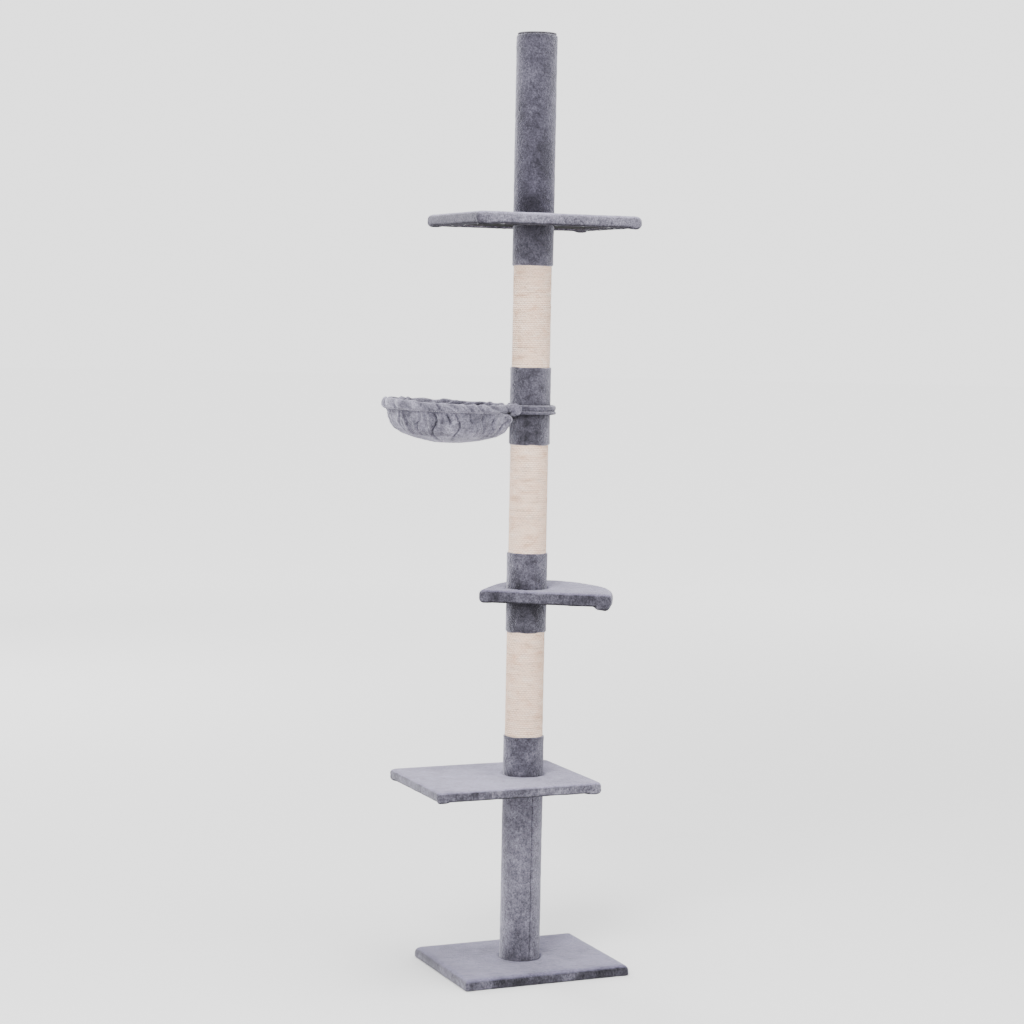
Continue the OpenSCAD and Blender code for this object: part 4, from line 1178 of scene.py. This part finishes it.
def loop_sleeve():
    """plush sleeve on the small wire loop, with its sewn lip below"""
    n = 220
    th = np.arange(n) * 2 * np.pi / n
    sec = [(50.2, -6.2), (50.2, 5.0), (51.0, 7.6), (53.2, 9.0), (56.3, 9.6), (59.2, 8.8), (61.6, 6.6), (62.7, 3.6), (62.8, 0.6), (62.0, -2.0), (60.3, -4.0), (59.3, -4.9), (60.6, -5.6), (62.7, -7.0), (63.5, -9.2), (62.9, -11.6), (60.9, -12.9), (58.6, -12.6), (57.0, -10.8), (56.4, -8.6), (55.4, -6.9), (53.0, -6.6)]
    V = []
    k3 = np.c_[56 * np.cos(th), 56 * np.sin(th), 0 * th]
    pk = vnoise(k3, 15, 61)
    wav = vnoise(k3, 24, 63)
    for r, zc in sec:
        P = np.c_[r * np.cos(th), r * np.sin(th), np.full(n, zc)]
        f = 0.6 * fbm(P, 10, 2, 65) + 0.2 * vnoise(P, 3.5, 67)
        out = (r > 55) * (f + 1.1 * pk * (0.6 + 0.4 * np.sin(zc / 4)))
        lo = (zc < -7.5) * 1.0
        rr = np.maximum(r + out + lo * 1.3 * wav, 50.1)
        z2 = zc + lo * 0.9 * wav + (zc > 7) * 0.6 * pk
        V.append(np.c_[rr * np.cos(th), rr * np.sin(th), z2])
    m = len(sec)
    # the cloth is 1.7 mm thick and hollow round the wire
    S2 = np.array(sec)
    d2 = np.roll(S2, -1, 0) - np.roll(S2, 1, 0)
    n2 = np.c_[d2[:, 1], -d2[:, 0]] / np.linalg.norm(d2, axis=1)[:, None]
    mid = S2.mean(0)
    if np.sum((S2 - mid) * n2) < 0:
        n2 = -n2
    inn = S2 - n2 * 1.7
    for r, zc in inn:
        V.append(np.c_[r * np.cos(th), r * np.sin(th), np.full(n, zc)])
    F = np.vstack([ring_faces(k * n, ((k + 1) % m) * n, n) for k in range(m)])
    F = np.vstack([F, F[:, ::-1] + m * n])
    o = make("hammock_loop_plush", ham(np.vstack(V)), F, M_LOOP, "hammock", ["hammock_loop_sleeve"])
    out = []
    for t in np.arange(0, 2 * np.pi, 5.0 / 60):
        if abs((t + np.pi) % (2 * np.pi) - np.pi) < 0.5:
            continue
        p = np.array([60.3 * math.cos(t), 60.3 * math.sin(t), -4.9])
        q = ham(np.array([p, p + [-math.sin(t), math.cos(t), 0], p + [math.cos(t), math.sin(t), 0]]))
        out.append((q[0], q[1] - q[0], q[2] - q[0]))
    stitches("hammock_loop_stitches", "hammock", out, None, M_THREAD)
    return o


loop_sleeve()


def junction(side, seed):
    """bunched fabric where the ring's casing runs into the loop's sleeve"""
    nu, nv = 56, 40
    a0 = math.radians(46) * side
    V = []
    for j in range(1, nv):
        ph = -math.pi / 2 + math.pi * j / nv
        u = np.arange(nu) * 2 * np.pi / nu
        V.append(np.c_[np.cos(u) * math.cos(ph), np.sin(u) * math.cos(ph), np.full(nu, math.sin(ph))])
    V = np.vstack(V + [np.array([[0, 0, -1.0], [0, 0, 1.0]])])
    D = V / (np.linalg.norm(V, axis=1)[:, None] + 1e-9)
    fold = 0.17 * np.cos(4 * np.arctan2(D[:, 2], D[:, 1]) + 3.4 * D[:, 0] + seed) * (1 - D[:, 0] ** 2) + 0.14 * vnoise(D, 0.5, seed)
    Q = np.sign(D) * np.abs(D) ** 0.85 * (1 + fold)[:, None] * np.array([19.5, 10.5, 13.6])
    # bend round the loop: first axis runs along it, second outwards
    ang = a0 - side * Q[:, 0] / 59.0
    rad = np.maximum(60.5 + Q[:, 1], 50.3)
    P = np.c_[rad * np.cos(ang), rad * np.sin(ang), Q[:, 2] - 1.8]
    P = P + 0.3 * np.repeat(vnoise(P, 4, seed + 5)[:, None], 3, 1)
    F = np.vstack([ring_faces(j * nu, (j + 1) * nu, nu) for j in range(nv - 2)]).tolist()
    p0, last = (nv - 1) * nu, (nv - 2) * nu
    for i in range(nu):
        k = (i + 1) % nu
        F.append([p0, k, i])
        F.append([p0 + 1, last + i, last + k])
    if side < 0:
        F = [f[::-1] for f in F]
    o = make(f"hammock_junction_{'front' if side > 0 else 'back'}", ham(P), F, M_HAM, "hammock")
    # painted shade in the folds of the bunched fabric, kept in the fold attribute
    painted_shade_attr(o, np.clip(-fold * 3.2, 0, 0.8))
    return o


junction(1, 5)
junction(-1, 9)

# ------------------------------------------------------------------ hardware
def threaded_rod():
    z0, z1 = z["threaded_rod"]
    pitch, r1, r0 = 4.0, 8.0, 6.9
    per, n = 40, int((z1 - z0 - 3) / pitch * 40)
    t = np.arange(n + 1) / per * 2 * np.pi
    zc = z0 + 1.5 + np.arange(n + 1) / per * pitch
    # one helical strip per turn: root, flank, crest, flank
    sec = [(r0, -2.0), (r0, -1.35), (r1, -0.7), (r1, 0.7), (r0, 1.35), (r0, 2.0)]
    V, F = [], []
    for r, dz in sec:
        V.append(np.c_[r * np.cos(t), r * np.sin(t), np.clip(zc + dz, z0 + 0.6, z1 - 0.6)])
    N = n + 1
    i = np.arange(n)
    for k in range(len(sec) - 1):
        F.append(np.c_[k * N + i, k * N + i + 1, (k + 1) * N + i + 1, (k + 1) * N + i])
    VV = np.vstack(V)
    F = np.vstack(F).tolist()
    # the inside face and both ends close it
    b = len(VV)
    VV = np.vstack([VV, np.c_[5.0 * np.cos(t), 5.0 * np.sin(t), np.clip(zc - 2.0, z0 + 0.6, z1 - 0.6)], np.c_[5.0 * np.cos(t), 5.0 * np.sin(t), np.clip(zc + 2.0, z0 + 0.6, z1 - 0.6)]])
    F += np.c_[b + i + 1, b + i, 0 * N + i, 0 * N + i + 1][:, ::-1].tolist()
    F += np.c_[5 * N + i, 5 * N + i + 1, b + N + i + 1, b + N + i].tolist()
    F += np.c_[b + N + i, b + N + i + 1, b + i + 1, b + i].tolist()
    F.append([0, N, 2 * N, 3 * N, 4 * N, 5 * N, b + N, b][::-1])
    F.append([n, N + n, 2 * N + n, 3 * N + n, 4 * N + n, 5 * N + n, b + N + n, b + n])
    make("threaded_rod_steel", VV, F, M_STEEL, "column", ["threaded_rod"], smooth=False)
    lathe("threaded_rod_core", [(0.01, z0), (6.2, z0), (7.0, z0 + 0.8), (7.0, z1 - 0.8), (6.2, z1), (0.01, z1)], M_STEEL, "column", 48, ())


threaded_rod()


def hex_nut(name, body, z0, z1, bore, af, node_name):
    """hexagon nut with chamfered corners"""
    n = 72
    t = np.arange(n) * 2 * np.pi / n
    hexr = (af / 2) / np.cos((t + math.pi / 6) % (math.pi / 3) - math.pi / 6)
    cham = af / 2 * 1.02
    rows = [(np.full(n, bore), z0 + 0.8), (np.full(n, bore + 0.8), z0), (np.minimum(hexr, cham) - 0.3, z0), (hexr, z0 + 1.6), (hexr, z1 - 1.6), (np.minimum(hexr, cham) - 0.3, z1), (np.full(n, bore + 0.8), z1), (np.full(n, bore), z1 - 0.8)]
    V = np.vstack([np.c_[r * np.cos(t), r * np.sin(t), 0 * t + zc] for r, zc in rows])
    m = len(rows)
    F = np.vstack([ring_faces(k * n, ((k + 1) % m) * n, n, False) for k in range(m)])
    return make(name, V, F, M_STEEL, body, [node_name], smooth=False)


hex_nut("lock_nut_steel", "column", *z["lock_nut"], 8.0, 24, "lock_nut")
hex_nut("captive_nut_steel", "top_post", *z["captive_nut"], 8.1, 24, "captive_nut")


def pad():
    z0, z1 = z["pad_rubber"]
    prof = [(0.5, z0), (45.6, z0), (46.7, z0 + 0.5), (47.0, z0 + 1.1), (46.9, z1 - 1.0), (46.3, z1 - 0.3), (45.3, z1)]
    r = 43.0
    while r > 6:                                  # concentric grip grooves
        prof += [(r, z1), (r - 0.5, z1 - 0.9), (r - 1.4, z1 - 0.9), (r - 1.9, z1)]
        r -= 4.4
    prof += [(0.5, z1)]
    lathe("ceiling_pad_rubber", prof[::-1], M_RUBBER, "ceiling_pad", 120, ["pad_rubber"])


pad()

# ------------------------------------------------------------------ what stays as designed gets its material
def slot_mat(n):
    if n.endswith("_board") or "plug" in n or n in ("clamp_disc", "pad_disc"):
        return M_WOOD
    if n.endswith("_tube"):
        return M_CARD
    return M_STEEL


for n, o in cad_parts.items():
    if not o.hide_render:
        o.data.materials.clear()
        o.data.materials.append(slot_mat(n))

# ------------------------------------------------------------------ floor, light, camera
def floor():
    me = bpy.data.meshes.new("floor")
    R = 60
    n = 64
    vs = [(R * math.cos(i * 2 * math.pi / n), R * math.sin(i * 2 * math.pi / n), -0.0005) for i in range(n)]
    me.from_pydata(vs, [], [tuple(range(n))])
    o = bpy.data.objects.new("floor", me)
    bpy.context.scene.collection.objects.link(o)
    m, nt, b = new_mat("studio_floor")
    b.inputs["Base Color"].default_value = (0.90, 0.90, 0.90, 1)
    b.inputs["Roughness"].default_value = 0.9
    b.inputs["Specular IOR Level"].default_value = 0.1
    # the lamps are aimed at the tree, so further out the floor gets a little light of its own and stays even
    tc = nt.nodes.new("ShaderNodeTexCoord")
    ln = nt.nodes.new("ShaderNodeVectorMath")
    ln.operation = "LENGTH"
    nt.links.new(tc.outputs["Object"], ln.inputs[0])
    mr = nt.nodes.new("ShaderNodeMapRange")
    mr.interpolation_type = "SMOOTHSTEP"
    mr.inputs["From Min"].default_value = 1.0
    mr.inputs["From Max"].default_value = 9.0
    mr.inputs["To Min"].default_value = 0.0
    mr.inputs["To Max"].default_value = 1.35
    nt.links.new(ln.outputs["Value"], mr.inputs[0])
    b.inputs["Emission Color"].default_value = (1, 1, 1, 1)
    nt.links.new(mr.outputs[0], b.inputs["Emission Strength"])
    me.materials.append(m)


floor()


def area(name, loc, target, size, energy, color=(1, 1, 1)):
    d = bpy.data.lights.new(name, "AREA")
    d.shape = "DISK"
    d.size = size
    d.energy = energy
    d.color = color
    o = bpy.data.objects.new(name, d)
    bpy.context.scene.collection.objects.link(o)
    o.location = loc
    o.rotation_euler = (Vector(target) - Vector(loc)).to_track_quat("-Z", "Y").to_euler()
    return o


area("key", (-3.9, -4.0, 4.6), (0, 0, 1.15), 3.2, 590)
area("top", (0.4, -0.6, 5.6), (0, 0, 0.6), 3.0, 230)
area("fill", (3.4, -4.4, 2.4), (0, 0, 1.1), 3.2, 90)
area("back", (-1.0, 5.2, 3.6), (0, 0, 1.2), 3.0, 200)

w = bpy.data.worlds.new("studio")
bpy.context.scene.world = w
w.use_nodes = True
bg = w.node_tree.nodes["Background"]
bg.inputs[0].default_value = (1, 1, 1, 1)
bg.inputs[1].default_value = 1.0
_nt = w.node_tree                      # the studio's white backdrop is brighter than its fill light
_lp = _nt.nodes.new("ShaderNodeLightPath")
_b2 = _nt.nodes.new("ShaderNodeBackground")
_b2.inputs[0].default_value = (1, 1, 1, 1)
_b2.inputs[1].default_value = 2.3
_mx = _nt.nodes.new("ShaderNodeMixShader")
_nt.links.new(_lp.outputs["Is Camera Ray"], _mx.inputs[0])
_nt.links.new(bg.outputs[0], _mx.inputs[1])
_nt.links.new(_b2.outputs[0], _mx.inputs[2])
_nt.links.new(_mx.outputs[0], _nt.nodes["World Output"].inputs[0])


def camera():
    f, hc, L = 2431.2, 1.6044, 5.908
    pitch, roll, yaw, az = map(math.radians, (4.596, 1.087, -0.377, -23.99))
    def rz(a):
        return Matrix.Rotation(a, 3, "Z")
    fwd = rz(az) @ rz(-yaw) @ Vector((0, math.cos(pitch), -math.sin(pitch)))
    up = rz(az) @ rz(-yaw) @ Vector((0, math.sin(pitch), math.cos(pitch)))
    right = fwd.cross(up)
    rc = math.cos(roll) * right + math.sin(roll) * up
    uc = math.cos(roll) * up - math.sin(roll) * right
    pos = rz(az) @ Vector((0, -L, 0)) + Vector((0, 0, hc))
    d = bpy.data.cameras.new("camera")
    d.lens = f / 1024 * 36
    d.sensor_width = 36
    d.clip_start, d.clip_end = 0.1, 200
    o = bpy.data.objects.new("camera", d)
    bpy.context.scene.collection.objects.link(o)
    m = Matrix((rc, uc, -fwd)).transposed().to_4x4()
    m.translation = pos
    o.matrix_world = m
    bpy.context.scene.camera = o


camera()
